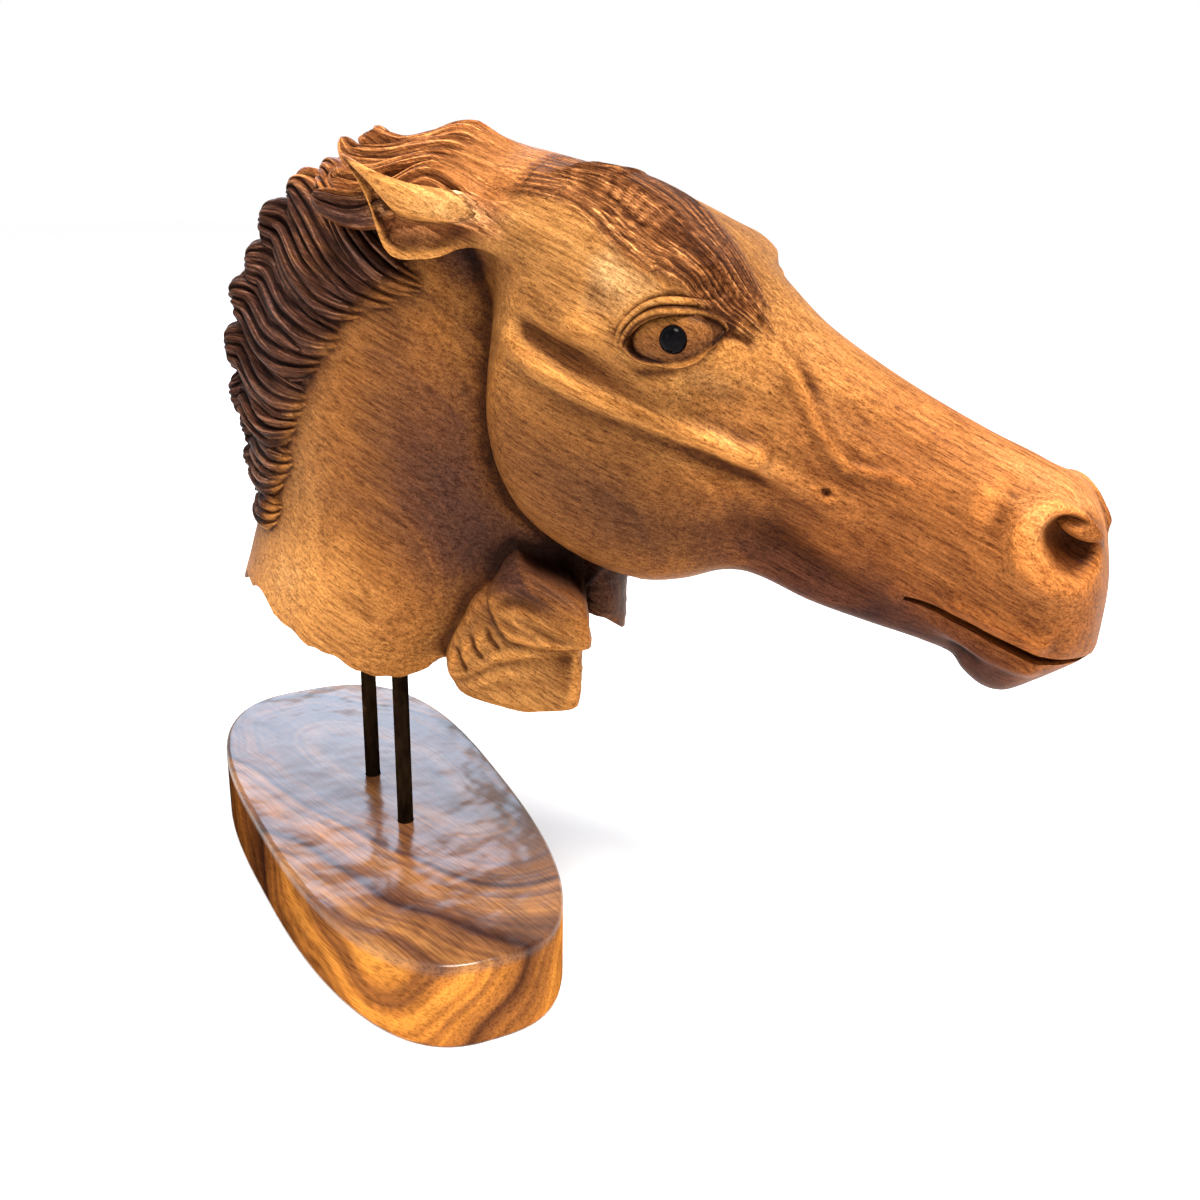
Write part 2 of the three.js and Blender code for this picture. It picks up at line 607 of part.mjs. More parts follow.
function carvedHead(rodTops) {
  const body = unite([skull(), neckBlock().subtract(tornCut()), throatLeaves(), throatLobe()]);
  const hair = unite([...mane(), ...tuft(), ...forelock()]);
  const ears = unite(sides.map(ear));
  const cuts = unite([
    ...sides.map(nostril),
    ...sides.map(mouth),
    ...frames.map((frame) => almond(frame, 0, [[12, 1.1], [0, 1], [-5, 0.8]])),
  ]);
  const lids = frames.map((frame) => almond(frame, 3, [[3, 0.9], [0, 1.02], [-6, 1.1]]));
  return unite([body, hair, ears, ...lids])
    .subtract(cuts)
    .add(unite(frames.map(eyeball)))
    .subtract(unite(frames.map((frame) => bead(frame, 2 * fitGap))))
    .subtract(unite(rodTops))
    .simplify(0.12);
}

// The rods and the base.
const rodPlaces = [-1, 1].map((end) => [
  rodOffsetX + (end * rodSpacing * Math.cos(baseTurn)) / 2,
  rodOffsetY + (end * rodSpacing * Math.sin(baseTurn)) / 2,
]);
const rodFoot = baseThickness - rodDepthInBase;
const rodTop = neckUnderside + rodDepthInNeck;

function rod([x, y], grow = 0) {
  const length = rodTop - rodFoot + 2 * grow;
  const geometry = new THREE.CylinderGeometry(rodDiameter / 2 + grow, rodDiameter / 2 + grow, length, 20);
  geometry.rotateX(Math.PI / 2);
  geometry.translate(x, y, (rodTop + rodFoot) / 2);
  return geometry;
}

function baseSlab() {
  const outline = new THREE.Shape();
  const corners = 64;
  for (let k = 0; k < corners; k++) {
    const turn = (2 * Math.PI * k) / corners;
    const bow = (v) => Math.sign(v) * Math.abs(v) ** (2 / baseSquareness);
    const along = bow(Math.cos(turn));
    const across = bow(Math.sin(turn)) * (1 - baseTaper * along);
    const x = (baseLength / 2 - baseEdgeRound) * along;
    const y = (baseWidth / 2 - baseEdgeRound) * across;
    if (k === 0) outline.moveTo(x, y);
    else outline.lineTo(x, y);
  }
  outline.closePath();
  const geometry = new THREE.ExtrudeGeometry(outline, {
    depth: baseThickness - 2 * baseEdgeRound,
    bevelThickness: baseEdgeRound,
    bevelSize: baseEdgeRound,
    bevelSegments: 2,
  });
  geometry.translate(0, 0, baseEdgeRound);
  geometry.rotateZ(baseTurn);
  const holes = rodPlaces.map((place) => solid(rod(place, fitGap)));
  return solid(geometry).subtract(unite(holes));
}

// The materials.
const carvedWood = new THREE.MeshStandardMaterial({ color: 0xb5742f, roughness: 0.45, metalness: 0 });
const baseWood = new THREE.MeshStandardMaterial({ color: 0x8a5630, roughness: 0.3, metalness: 0 });
const darkSteel = new THREE.MeshStandardMaterial({ color: 0x3a2a1e, roughness: 0.5, metalness: 0.8 });
const blackGlass = new THREE.MeshStandardMaterial({ color: 0x0a0a0c, roughness: 0.08, metalness: 0 });

const sculpture = new THREE.Group();
function place(name, geometry, material) {
  const mesh = new THREE.Mesh(geometry, material.clone());
  mesh.name = name;
  sculpture.add(mesh);
}
place("horse_head", geometryOf(carvedHead(rodPlaces.map((spot) => solid(rod(spot, fitGap))))), carvedWood);
place("base", geometryOf(baseSlab()), baseWood);
place("rear_rod", rod(rodPlaces[0]), darkSteel);
place("front_rod", rod(rodPlaces[1]), darkSteel);
place("right_eye_bead", geometryOf(bead(frames[0])), blackGlass);
place("left_eye_bead", geometryOf(bead(frames[1])), blackGlass);

export default sculpture;
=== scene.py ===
# A carved wooden horse head on two steel rods and an oval wooden base, dressed over its measured solids.
import json
import math

import bpy
import numpy as np
from mathutils import Matrix, Vector
from mathutils.kdtree import KDTree

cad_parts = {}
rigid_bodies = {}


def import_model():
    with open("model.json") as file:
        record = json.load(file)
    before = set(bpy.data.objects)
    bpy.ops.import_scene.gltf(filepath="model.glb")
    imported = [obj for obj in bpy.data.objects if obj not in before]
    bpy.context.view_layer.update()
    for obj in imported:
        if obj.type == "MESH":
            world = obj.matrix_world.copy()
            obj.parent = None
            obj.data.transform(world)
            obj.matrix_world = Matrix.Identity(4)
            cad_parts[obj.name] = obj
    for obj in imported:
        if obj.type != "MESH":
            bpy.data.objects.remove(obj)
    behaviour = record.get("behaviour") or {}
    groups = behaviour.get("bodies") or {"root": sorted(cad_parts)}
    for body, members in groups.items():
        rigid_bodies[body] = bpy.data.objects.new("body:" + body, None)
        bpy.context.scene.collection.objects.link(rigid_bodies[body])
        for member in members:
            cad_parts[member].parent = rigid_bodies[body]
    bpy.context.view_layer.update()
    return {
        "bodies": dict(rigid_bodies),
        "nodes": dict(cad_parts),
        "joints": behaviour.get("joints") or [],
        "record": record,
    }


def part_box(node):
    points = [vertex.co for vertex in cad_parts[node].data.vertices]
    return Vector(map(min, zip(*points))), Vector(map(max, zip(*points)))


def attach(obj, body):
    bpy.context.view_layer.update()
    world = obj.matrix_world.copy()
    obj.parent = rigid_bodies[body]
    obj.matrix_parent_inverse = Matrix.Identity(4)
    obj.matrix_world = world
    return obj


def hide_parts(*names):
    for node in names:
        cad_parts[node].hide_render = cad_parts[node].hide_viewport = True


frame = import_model()


# The camera stands in front of the horse's right shoulder, a little above its brow, and looks down.
camera_place = Vector((0.36637, -0.48957, 0.362))
camera_azimuth, camera_pitch, camera_roll = math.radians(26), math.radians(19), math.radians(-0.9)
ahead = Vector((
    -math.sin(camera_azimuth) * math.cos(camera_pitch),
    math.cos(camera_azimuth) * math.cos(camera_pitch),
    -math.sin(camera_pitch),
))
level = Vector((math.cos(camera_azimuth), math.sin(camera_azimuth), 0))
upright = level.cross(ahead)
right = level * math.cos(camera_roll) - upright * math.sin(camera_roll)
up = level * math.sin(camera_roll) + upright * math.cos(camera_roll)
lens = bpy.data.cameras.new("camera")
lens.lens, lens.sensor_width, lens.clip_start = 37.5, 36, 0.01
camera = bpy.data.objects.new("camera", lens)
bpy.context.scene.collection.objects.link(camera)
camera.matrix_world = Matrix((
    (right.x, up.x, -ahead.x, camera_place.x),
    (right.y, up.y, -ahead.y, camera_place.y),
    (right.z, up.z, -ahead.z, camera_place.z),
    (0, 0, 0, 1),
))
bpy.context.scene.camera = camera


# The base is an oval slab of dark-ringed hardwood, slightly egg-shaped in plan, with softly rounded
# rims and a glossy varnish. Two blind holes take the rods.
base_length, base_width, base_height = 0.325, 0.135, 0.042
base_squareness, base_taper, base_turn = 2.75, 0.106, math.radians(-37.3)
base_edge = 0.0025
base_share = 0.997
hole_gap = 0.0003


def new_material(name):
    material = bpy.data.materials.new(name)
    material.use_nodes = True
    return material, material.node_tree, material.node_tree.nodes["Principled BSDF"]


def grain_place(net, turn, stretch):
    """Object coordinates turned so that the first axis runs with the grain, then stretched along it."""
    place = net.nodes.new("ShaderNodeTexCoord")
    turned = net.nodes.new("ShaderNodeMapping")
    turned.vector_type = "TEXTURE"
    turned.inputs["Rotation"].default_value = turn
    net.links.new(place.outputs["Object"], turned.inputs["Vector"])
    stretched = net.nodes.new("ShaderNodeMapping")
    stretched.inputs["Scale"].default_value = stretch
    net.links.new(turned.outputs["Vector"], stretched.inputs["Vector"])
    return stretched.outputs["Vector"]


def noise(net, where, scale, detail=4, rough=0.55, distortion=0.0):
    node = net.nodes.new("ShaderNodeTexNoise")
    node.inputs["Scale"].default_value = scale
    node.inputs["Detail"].default_value = detail
    node.inputs["Roughness"].default_value = rough
    node.inputs["Distortion"].default_value = distortion
    net.links.new(where, node.inputs["Vector"])
    return node.outputs["Fac"]


def ramp(net, value, stops):
    node = net.nodes.new("ShaderNodeValToRGB")
    while len(node.color_ramp.elements) < len(stops):
        node.color_ramp.elements.new(0.5)
    for element, (place, color) in zip(node.color_ramp.elements, stops):
        element.position = place
        element.color = (*color, 1) if len(color) == 3 else color
    net.links.new(value, node.inputs["Fac"])
    return node.outputs["Color"]


def mix(net, kind, amount, first, second):
    node = net.nodes.new("ShaderNodeMix")
    node.data_type = "RGBA"
    node.blend_type = kind
    if isinstance(amount, (int, float)):
        node.inputs["Factor"].default_value = amount
    else:
        net.links.new(amount, node.inputs["Factor"])
    for value, socket in ((first, node.inputs[6]), (second, node.inputs[7])):
        if isinstance(value, tuple):
            socket.default_value = (*value, 1)
        else:
            net.links.new(value, socket)
    return node.outputs[2]


def sums(net, operation, first, second=None):
    node = net.nodes.new("ShaderNodeMath")
    node.operation = operation
    for value, socket in zip((first, second), node.inputs):
        if value is None:
            continue
        if isinstance(value, (int, float)):
            socket.default_value = value
        else:
            net.links.new(value, socket)
    return node.outputs[0]


def added(net, first, second):
    return sums(net, "ADD", first, second)


def scaled(net, first, second):
    return sums(net, "MULTIPLY", first, second)


def spread(net, value, low, high, to_low=0.0, to_high=1.0):
    node = net.nodes.new("ShaderNodeMapRange")
    node.inputs["From Min"].default_value = low
    node.inputs["From Max"].default_value = high
    node.inputs["To Min"].default_value = to_low
    node.inputs["To Max"].default_value = to_high
    net.links.new(value, node.inputs["Value"])
    return node.outputs["Result"]


def ring_bands(net, field, scale, rough):
    """Bands that follow a field, as growth rings do."""
    bands = net.nodes.new("ShaderNodeTexNoise")
    bands.noise_dimensions = "1D"
    bands.inputs["Scale"].default_value = scale
    bands.inputs["Detail"].default_value = 3
    bands.inputs["Roughness"].default_value = rough
    net.links.new(field, bands.inputs["W"])
    return bands.outputs["Fac"]


def rough_skin(net, shader, height, distance, strength=1.0):
    bump = net.nodes.new("ShaderNodeBump")
    bump.inputs["Distance"].default_value = distance
    bump.inputs["Strength"].default_value = strength
    net.links.new(height, bump.inputs["Height"])
    net.links.new(bump.outputs["Normal"], shader.inputs["Normal"])


def upright_bar(node, gap=0.0):
    """A cylinder in the place of a measured rod, wider by a gap all round."""
    low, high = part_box(node)
    bpy.ops.object.select_all(action="DESELECT")
    bpy.ops.mesh.primitive_cylinder_add(
        vertices=48,
        radius=(high[0] - low[0]) / 2 + gap,
        depth=high[2] - low[2],
        location=[(a + b) / 2 for a, b in zip(low, high)],
    )
    return bpy.context.object


def round_rims(solid, offset, segments):
    """Rounds the level edges of an upright solid."""
    bpy.ops.object.mode_set(mode="EDIT")
    bpy.ops.mesh.select_mode(type="EDGE")
    bpy.ops.mesh.select_all(action="DESELECT")
    bpy.ops.object.mode_set(mode="OBJECT")
    for edge in solid.data.edges:
        first, second = (solid.data.vertices[i].co for i in edge.vertices)
        edge.select = abs(first.z - second.z) < 1e-6
    bpy.ops.object.mode_set(mode="EDIT")
    bpy.ops.mesh.bevel(offset=offset, segments=segments, affect="EDGES", clamp_overlap=True)
    bpy.ops.object.mode_set(mode="OBJECT")


def turn_faces_out():
    bpy.ops.object.mode_set(mode="EDIT")
    bpy.ops.mesh.select_all(action="SELECT")
    bpy.ops.mesh.normals_make_consistent(inside=False)
    bpy.ops.object.mode_set(mode="OBJECT")


bpy.ops.object.select_all(action="DESELECT")
bpy.ops.mesh.primitive_circle_add(vertices=144, radius=1, fill_type="NGON")
base = bpy.context.object
base.name = "oval_base"
cos_turn, sin_turn = math.cos(base_turn), math.sin(base_turn)
for corner in base.data.vertices:
    turn = math.atan2(corner.co.y, corner.co.x)
    far = math.copysign(abs(math.cos(turn)) ** (2 / base_squareness), math.cos(turn))
    out = math.copysign(abs(math.sin(turn)) ** (2 / base_squareness), math.sin(turn)) * (1 - base_taper * far)
    x, y = base_length / 2 * far, base_width / 2 * out
    corner.co = (base_share * (x * cos_turn - y * sin_turn), base_share * (x * sin_turn + y * cos_turn), 0)
bpy.ops.object.mode_set(mode="EDIT")
bpy.ops.mesh.select_all(action="SELECT")
bpy.ops.mesh.extrude_region_move(TRANSFORM_OT_translate={"value": (0, 0, base_height)})
bpy.ops.object.mode_set(mode="OBJECT")
turn_faces_out()
round_rims(base, base_edge, 4)
turn_faces_out()

for node in ("rear_rod", "front_rod"):
    drill = upright_bar(node, hole_gap)
    cut = base.modifiers.new("hole", "BOOLEAN")
    cut.operation, cut.solver, cut.object = "DIFFERENCE", "EXACT", drill
    bpy.ops.object.select_all(action="DESELECT")
    bpy.context.view_layer.objects.active = base
    bpy.ops.object.modifier_apply(modifier="hole")
    bpy.data.objects.remove(drill)
base.select_set(True)
bpy.ops.object.shade_smooth_by_angle(angle=math.radians(35))


def base_wood():
    material, net, shader = new_material("varnished_ringed_wood")
    turn = (0, 0, base_turn + math.radians(14))
    where = grain_place(net, turn, (1, 1, 1))
    warp = noise(net, where, 6, 2, 0.5)
    split = net.nodes.new("ShaderNodeSeparateXYZ")
    net.links.new(where, split.inputs[0])
    off_x = scaled(net, added(net, split.outputs[0], 0.02), 0.42)
    off_y = added(net, split.outputs[1], -0.02)
    squares = added(net, scaled(net, off_x, off_x), scaled(net, off_y, off_y))
    rings = sums(net, "SQRT", squares)
    wobble = scaled(net, sums(net, "SUBTRACT", warp, 0.5), 0.11)
    field = added(net, added(net, rings, wobble), scaled(net, split.outputs[2], 0.25))
    bands = ring_bands(net, field, 55, 0.6)
    color = ramp(net, bands, [
        (0.30, (0.035, 0.014, 0.012)),
        (0.42, (0.105, 0.042, 0.022)),
        (0.54, (0.21, 0.086, 0.030)),
        (0.72, (0.34, 0.155, 0.048)),
    ])
    fine = noise(net, grain_place(net, turn, (40, 900, 900)), 1, 3, 0.6)
    streak = ramp(net, fine, [(0.36, (0.56, 0.52, 0.50)), (0.5, (1, 1, 1)), (0.66, (1.25, 1.25, 1.2))])
    color = mix(net, "MULTIPLY", 0.8, color, streak)
    blotch = ramp(net, noise(net, where, 26, 5, 0.65), [
        (0.34, (0.55, 0.50, 0.50)), (0.52, (1, 1, 1)), (0.66, (1.3, 1.25, 1.15))])
    color = mix(net, "MULTIPLY", 0.8, color, blotch)
    split_height = spread(net, split.outputs[2], 0.036, 0.0415, 0.0, 1.0)
    # The sides are painted darker towards one end and lighter towards the other, as painted shade and painted
    # light; the varnished top keeps its own colour.
    toward_end = spread(net, split.outputs[0], -0.10, 0.13)
    painted_side_light_and_shade = ramp(net, toward_end, [
        (0.0, (0.36, 0.27, 0.16)), (0.5, (0.85, 0.70, 0.42)), (0.9, (2.0, 1.8, 1.0))])
    color = mix(net, "MIX", split_height, mix(net, "MULTIPLY", 1.0, color, painted_side_light_and_shade), color)
    net.links.new(color, shader.inputs["Base Color"])
    shader.inputs["Roughness"].default_value = 0.34
    shader.inputs["Specular IOR Level"].default_value = 0.0
    net.links.new(spread(net, split_height, 0, 1, 0.0, 0.75), shader.inputs["Coat Weight"])
    shader.inputs["Coat Roughness"].default_value = 0.2
    rough_skin(net, shader, noise(net, where, 34, 2, 0.5), 0.006, 0.35)
    net.links.new(shader.inputs["Normal"].links[0].from_socket, shader.inputs["Coat Normal"])
    return material


base.data.materials.clear()
base.data.materials.append(base_wood())
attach(base, "root")
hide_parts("base")


# Two bars of dark, lightly pitted steel stand in the base, one behind the other. They carry the carving
# and are plain round stock with barely broken edges.
rod_edge = 0.0006


def dark_steel():
    material, net, shader = new_material("dark_rod_steel")
    where = grain_place(net, (0, 0, 0), (1, 1, 0.4))
    patch = noise(net, where, 160, 5, 0.6)
    color = ramp(net, patch, [
        (0.35, (0.006, 0.003, 0.002)), (0.6, (0.020, 0.011, 0.005)), (0.75, (0.09, 0.045, 0.018))])
    net.links.new(color, shader.inputs["Base Color"])
    shader.inputs["Specular IOR Level"].default_value = 0.0
    net.links.new(spread(net, patch, 0.3, 0.7, 0.4, 0.7), shader.inputs["Roughness"])
    rough_skin(net, shader, noise(net, where, 420, 3, 0.6), 0.0006, 0.6)
    return material


rod_material = dark_steel()
for node in ("rear_rod", "front_rod"):
    rod = upright_bar(node)
    rod.name = node + "_bar"
    round_rims(rod, rod_edge, 2)
    bpy.ops.object.transform_apply(location=True, rotation=True, scale=True)
    bpy.ops.object.shade_smooth_by_angle(angle=math.radians(35))
    rod.data.materials.clear()
    rod.data.materials.append(rod_material)
    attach(rod, "root")
    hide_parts(node)


# The carving is one block of oiled hardwood: head, neck, mane, forelock, ears and the broken, folded
# edge of the neck. Its forms are worked out in millimetres, in the head's own frame of along, out and up.
def smooth_line(pairs):
    at = np.array([p for p, _ in pairs], float)
    value = np.array([v for _, v in pairs], float)
    last = len(at) - 1
    low = np.maximum(np.arange(last + 1) - 1, 0)
    high = np.minimum(np.arange(last + 1) + 1, last)
    slope = (value[high] - value[low]) / (at[high] - at[low])

    def read(p):
        p = np.clip(np.asarray(p, float), at[0], at[-1])
        i = np.clip(np.searchsorted(at, p, side="right") - 1, 0, last - 1)
        gap = at[i + 1] - at[i]
        t = (p - at[i]) / gap
        ease = t * t * (3 - 2 * t)
        rise = t * (1 - t) * ((1 - t) * slope[i] - t * slope[i + 1]) * gap
        return value[i] * (1 - ease) + value[i + 1] * ease + rise

    return read


def blend_in(value, start, run):
    """0 before the start and 1 past the run, or the other way round for a negative run."""
    return np.clip((value - start) / run, 0, 1)


nose_line = smooth_line([
    (-22, 0), (0, 7), (20, 12), (45, 20), (75, 23), (98, 21), (120, 15), (145, 9.5), (180, 7.5),
    (220, 8.5), (248, 11), (262, 10), (274, 4), (284, -8), (292, -20), (298, -33), (301, -40)])
jaw_line = smooth_line([
    (-22, -40), (0, -54), (18, -64), (28, -82), (38, -101), (50, -116), (61, -125), (73, -131), (92, -134),
    (112, -133), (133, -127), (148, -116), (160, -103), (172, -96), (200, -91), (226, -84), (246, -78),
    (258, -76), (266, -79), (276, -80), (284, -76), (291, -64), (297, -52), (301, -44)])
bridge_half = smooth_line([
    (-22, 12), (0, 18), (30, 26), (70, 33), (88, 38), (97, 40), (105, 37), (113, 29), (125, 25), (150, 20),
    (190, 16), (235, 15), (258, 18), (276, 18), (290, 14), (298, 7), (301, 3)])
brow_half = smooth_line([
    (-22, 20), (0, 29), (25, 37), (60, 43), (85, 47), (101, 50), (112, 47), (120, 42), (135, 35), (160, 29),
    (190, 25), (235, 25), (262, 30), (278, 28), (290, 21), (298, 11), (301, 4)])
crest_half = smooth_line([
    (-22, 22), (0, 31), (30, 40), (60, 46), (100, 47), (130, 44), (160, 38), (190, 31), (235, 29),
    (262, 32), (280, 29), (291, 23), (298, 13), (301, 5)])
cheek_half = smooth_line([
    (-22, 18), (0, 25), (20, 30), (32, 37), (42, 44), (60, 48), (90, 47), (120, 43), (143, 36), (160, 30),
    (190, 27), (235, 25), (262, 27), (280, 25), (291, 20), (298, 11), (301, 4)])
jaw_half = smooth_line([
    (-22, 10), (0, 15), (20, 20), (32, 28), (45, 34), (60, 37), (90, 38), (120, 34), (145, 28), (165, 22),
    (200, 20), (235, 17), (255, 16), (275, 15), (288, 12), (298, 7), (301, 2)])
height_shares = (0.05, 0.17, 0.41, 0.68, 0.92)


def head_corners(along):
    """The corners of the head's section at each place along it: array of places, corners, (out, up)."""
    along = np.atleast_1d(np.asarray(along, float))
    top, bottom = nose_line(along), jaw_line(along)
    side = [(half(along), top - share * (top - bottom))
            for half, share in zip((bridge_half, brow_half, crest_half, cheek_half, jaw_half), height_shares)]
    zero = np.zeros_like(top)
    corners = [(zero, top), *side, (zero, bottom), *[(-out, height) for out, height in reversed(side)]]
    return np.stack([np.stack(corner, -1) for corner in corners], 1)


def curve_between(a, b, c, d, t):
    """The smooth curve from b to c, where a lies before them and d behind."""
    return 0.5 * (2 * b + (c - a) * t + (2 * a - 5 * b + 4 * c - d) * t ** 2
                  + (3 * b - a - 3 * c + d) * t ** 3)


def loop_point(corners, u):
    """A point of the closed smooth loop through each row of corners, at place u of its corners."""
    count = corners.shape[1]
    i = np.floor(u).astype(int)
    t = (u - i)[..., None]
    rows = np.arange(corners.shape[0]).reshape((-1,) + (1,) * (i.ndim - 1))
    a, b, c, d = (corners[rows, (i + k) % count] for k in (-1, 0, 1, 2))
    return curve_between(a, b, c, d, t)


def line_rise(points, x, y, rise, reach, fades=(0, 0), widen=1.0):
    """The rise of a ridge, or the fall of a groove, along a line of points, faded out at its ends."""
    points = np.array(points, float)
    lengths = np.hypot(*np.diff(points, axis=0).T)
    starts = np.concatenate([[0], np.cumsum(lengths)]) / lengths.sum()
    nearest, place = np.full(np.shape(x), np.inf), np.zeros(np.shape(x))
    for i, ((ax, ay), (bx, by)) in enumerate(zip(points, points[1:])):
        t = np.clip(((x - ax) * (bx - ax) + (y - ay) * (by - ay)) / lengths[i] ** 2, 0, 1)
        away = np.hypot(x - ax - t * (bx - ax), y - ay - t * (by - ay))
        closer = away < nearest
        nearest = np.where(closer, away, nearest)
        place = np.where(closer, starts[i] + t * (starts[i + 1] - starts[i]), place)
    fade = np.ones(np.shape(x))
    for share, run in zip(fades, (place, 1 - place)):
        if share:
            fade *= 0.5 - 0.5 * np.cos(math.pi * np.clip(run / share, 0, 1))
    return rise * fade * np.exp(-((nearest / (reach * (1 + (widen - 1) * place))) ** 2))


# Ridges and grooves of the face: points in side view, rise in mm, and how far each reaches.
ridges = [
    ("upper cheekbone", [(26, -33), (40, -30), (54, -30), (71, -27), (84, -24)], 2.6, 6.0, (0.2, 0.4)),
    ("groove in the cheekbone", [(36, -42), (48, -42.5), (64, -42), (82, -39), (100, -33)],
     -3.8, 4.8, (0.25, 0.6), 1.8),
    ("facial crest", [(29, -49), (48, -51), (60, -51), (76, -50), (89, -48), (107, -44), (120, -41.5),
                      (134, -39.5), (148, -38), (160, -34)], 3.6, 5.0, (0.25, 0.06)),
    ("edge of the crest", [(110, -43), (134, -39.5), (148, -38), (160, -34)], 1.6, 3.2, (0.5, 0.06)),
    ("brow", [(84, 10), (92, 14), (100, 14), (106, 9)], 3.0, 5.5, (0.2, 0.2)),
    ("crease over the lid", [(87, -22), (87.5, -12), (91.5, -2), (98, 5), (107, 9), (115, 7), (121, 2)],
     -1.9, 2.2, (0.2, 0.2)),
    ("crease under the lid", [(91, -28), (100, -29), (110, -23), (117, -14), (122, -5)],
     -1.3, 2.4, (0.3, 0.3)),
    ("tear line", [(121, 0), (127, 0), (134, -3)], -1.8, 2.2, (0, 0.6)),
    ("vein", [(140, 0), (150, -4), (159, -9), (168, -15), (177, -19), (186, -22), (193, -20), (201, -17),
              (210, -15), (219, -12)], 2.0, 1.9, (0.15, 0.3)),
    ("crease over the vein", [(136, 4), (147, 2), (157, -3), (167, -8)], -1.3, 2.6, (0.4, 0.4)),
    ("ear muscle", [(12, -12), (26, -9), (42, -8), (58, -8)], 2.4, 6.5, (0, 0.5)),
    ("nostril rim", [(272, 12), (262, 11.5), (255.5, 6), (252.5, -2), (255, -10), (261, -16), (270, -19),
                     (280, -18), (288, -12)], 2.0, 5.0, (0.15, 0.2)),
    ("nostril front", [(284, 4), (290, -3), (290, -10)], 1.5, 4.0, (0.3, 0.3)),
    ("crease behind the nostril", [(262, 20), (250, 13), (244, 2), (245, -10), (252, -20), (264, -28)],
     -1.6, 6.0, (0.35, 0.35)),
    ("fold behind the nostril", [(232, 4), (236, -8), (241, -20)], 1.2, 5.0, (0.4, 0.4)),
    ("upper lip", [(240, -49), (252, -45), (264, -43), (276, -41), (288, -39)], 3.0, 4.0, (0.3, 0.1)),
    ("lower lip", [(240, -61), (252, -58.5), (266, -57), (280, -54.5), (291, -51)], 3.0, 4.0, (0.3, 0.1)),
    ("corner of the mouth", [(229, -51), (227, -58), (231, -64)], 1.2, 3.2, (0.4, 0.4)),
    ("crease under the lip", [(250, -66), (262, -65), (274, -63)], -1.4, 3.0, (0.4, 0.4)),
]
hollows = [
    ("temple", (66, -12), (17, 9), 2.6),
    ("under the eye", (128, -22), (22, 9), 3.2),
    ("beside the nose", (186, -4), (34, 6), 2.4),
    ("under the vein", (176, -29), (20, 7), 2.0),
    ("under the crest", (151, -46), (16, 5.5), 4.0),
    ("before the cheek", (174, -62), (16, 16), 2.4),
    ("beside the lips", (214, -36), (18, 12), 2.4),
    ("chin", (262, -69), (8, 5), 2.0),
    ("jaw edge", (196, -66), (26, 8), 2.0),
]

# The forelock lies over the brow in low relief, combed to the right and ending in a point over the eye.
forelock_near = smooth_line([
    (-8, -40), (9, -44.5), (22, -43.5), (35, -44.6), (50, -50), (64, -57), (76, -61.5), (90, -62),
    (104, -58), (114, -53), (124, -46), (136, -40)])
forelock_far = smooth_line([
    (-8, 18), (30, 17), (50, 14), (70, 9), (80, 3), (92, -4), (108, -11), (122, -18), (136, -24)])
forelock_strands = 13


def forelock_ends(lie):
    """How far each lock of the forelock reaches: pointed ends with notches between them."""
    return np.interp(lie, [0, 0.1, 0.2, 0.35, 0.5, 0.65, 0.78, 0.9, 1],
                     [126, 134, 122, 135, 124, 137, 122, 132, 120])


def forelock_lie(along, out, height):
    """Where a point lies across the forelock, from 0 on its near edge to 1, and how much it is part of it."""
    girth = np.sign(out) * (np.abs(out) + nose_line(along) - height)
    near, far = forelock_near(along), forelock_far(along)
    lie = (girth - near) / np.maximum(far - near, 1.5)
    width = np.maximum(far - near, 1.5)
    part = np.clip(lie * width / 2.5 + 0.5, 0, 1) * np.clip((1 - lie) * width / 2.5 + 0.5, 0, 1)
    part = part * (height > nose_line(along) - 34)
    part = part * np.clip((forelock_ends(lie) - along) / 3, 0, 1)
    return lie, part, width


def forelock_crest(along, lie):
    """1 on the thin crest of each combed strand and 0 in the flat between two."""
    sway = 0.35 * np.sin(along / 19 + 2) + 0.2 * np.sin(along / 14 + lie * 7)
    return (0.5 + 0.5 * np.cos(2 * math.pi * (lie * forelock_strands + sway))) ** 2


def forelock_relief(along, out, height):
    lie, part, width = forelock_lie(along, out, height)
    depth = np.clip((width / forelock_strands - 1.5) / 1.6, 0, 1)
    return part * (1.5 + depth * (1.6 * forelock_crest(along, lie) - 0.6))


def carving(along, height):
    rise = np.zeros(np.shape(along))
    for _, points, *shape in ridges:
        rise += line_rise(points, along, height, *shape)
    for _, at, reach, sink in hollows:
        rise -= sink * np.exp(-(((along - at[0]) / reach[0]) ** 2) - ((height - at[1]) / reach[1]) ** 2)
    knot = np.hypot(along - 184, height + 35.5)
    return rise - 2.2 * np.exp(-((knot / 1.7) ** 2)) + 0.5 * np.exp(-(((knot - 3.6) / 1.6) ** 2))


def head_point(along, u):
    """Points of the head's surface, in the head's own frame, for arrays of places along and round it."""
    along, u = np.broadcast_arrays(np.asarray(along, float), np.asarray(u, float))
    flat_along, flat_u = along.ravel(), u.ravel()
    corners = head_corners(flat_along)
    here, beside = loop_point(corners, flat_u), loop_point(corners, flat_u + 0.02)
    step = beside - here
    run = np.maximum(np.hypot(step[:, 0], step[:, 1]), 1e-9)
    normal = np.stack([-step[:, 1] / run, step[:, 0] / run], -1)
    sideways = np.minimum(1, np.abs(normal[:, 0]) * 1.4)
    rise = carving(flat_along, here[:, 1]) * sideways + forelock_relief(flat_along, here[:, 0], here[:, 1])
    place = here + normal * rise[:, None]
    return np.column_stack([flat_along, place]).reshape(along.shape + (3,))


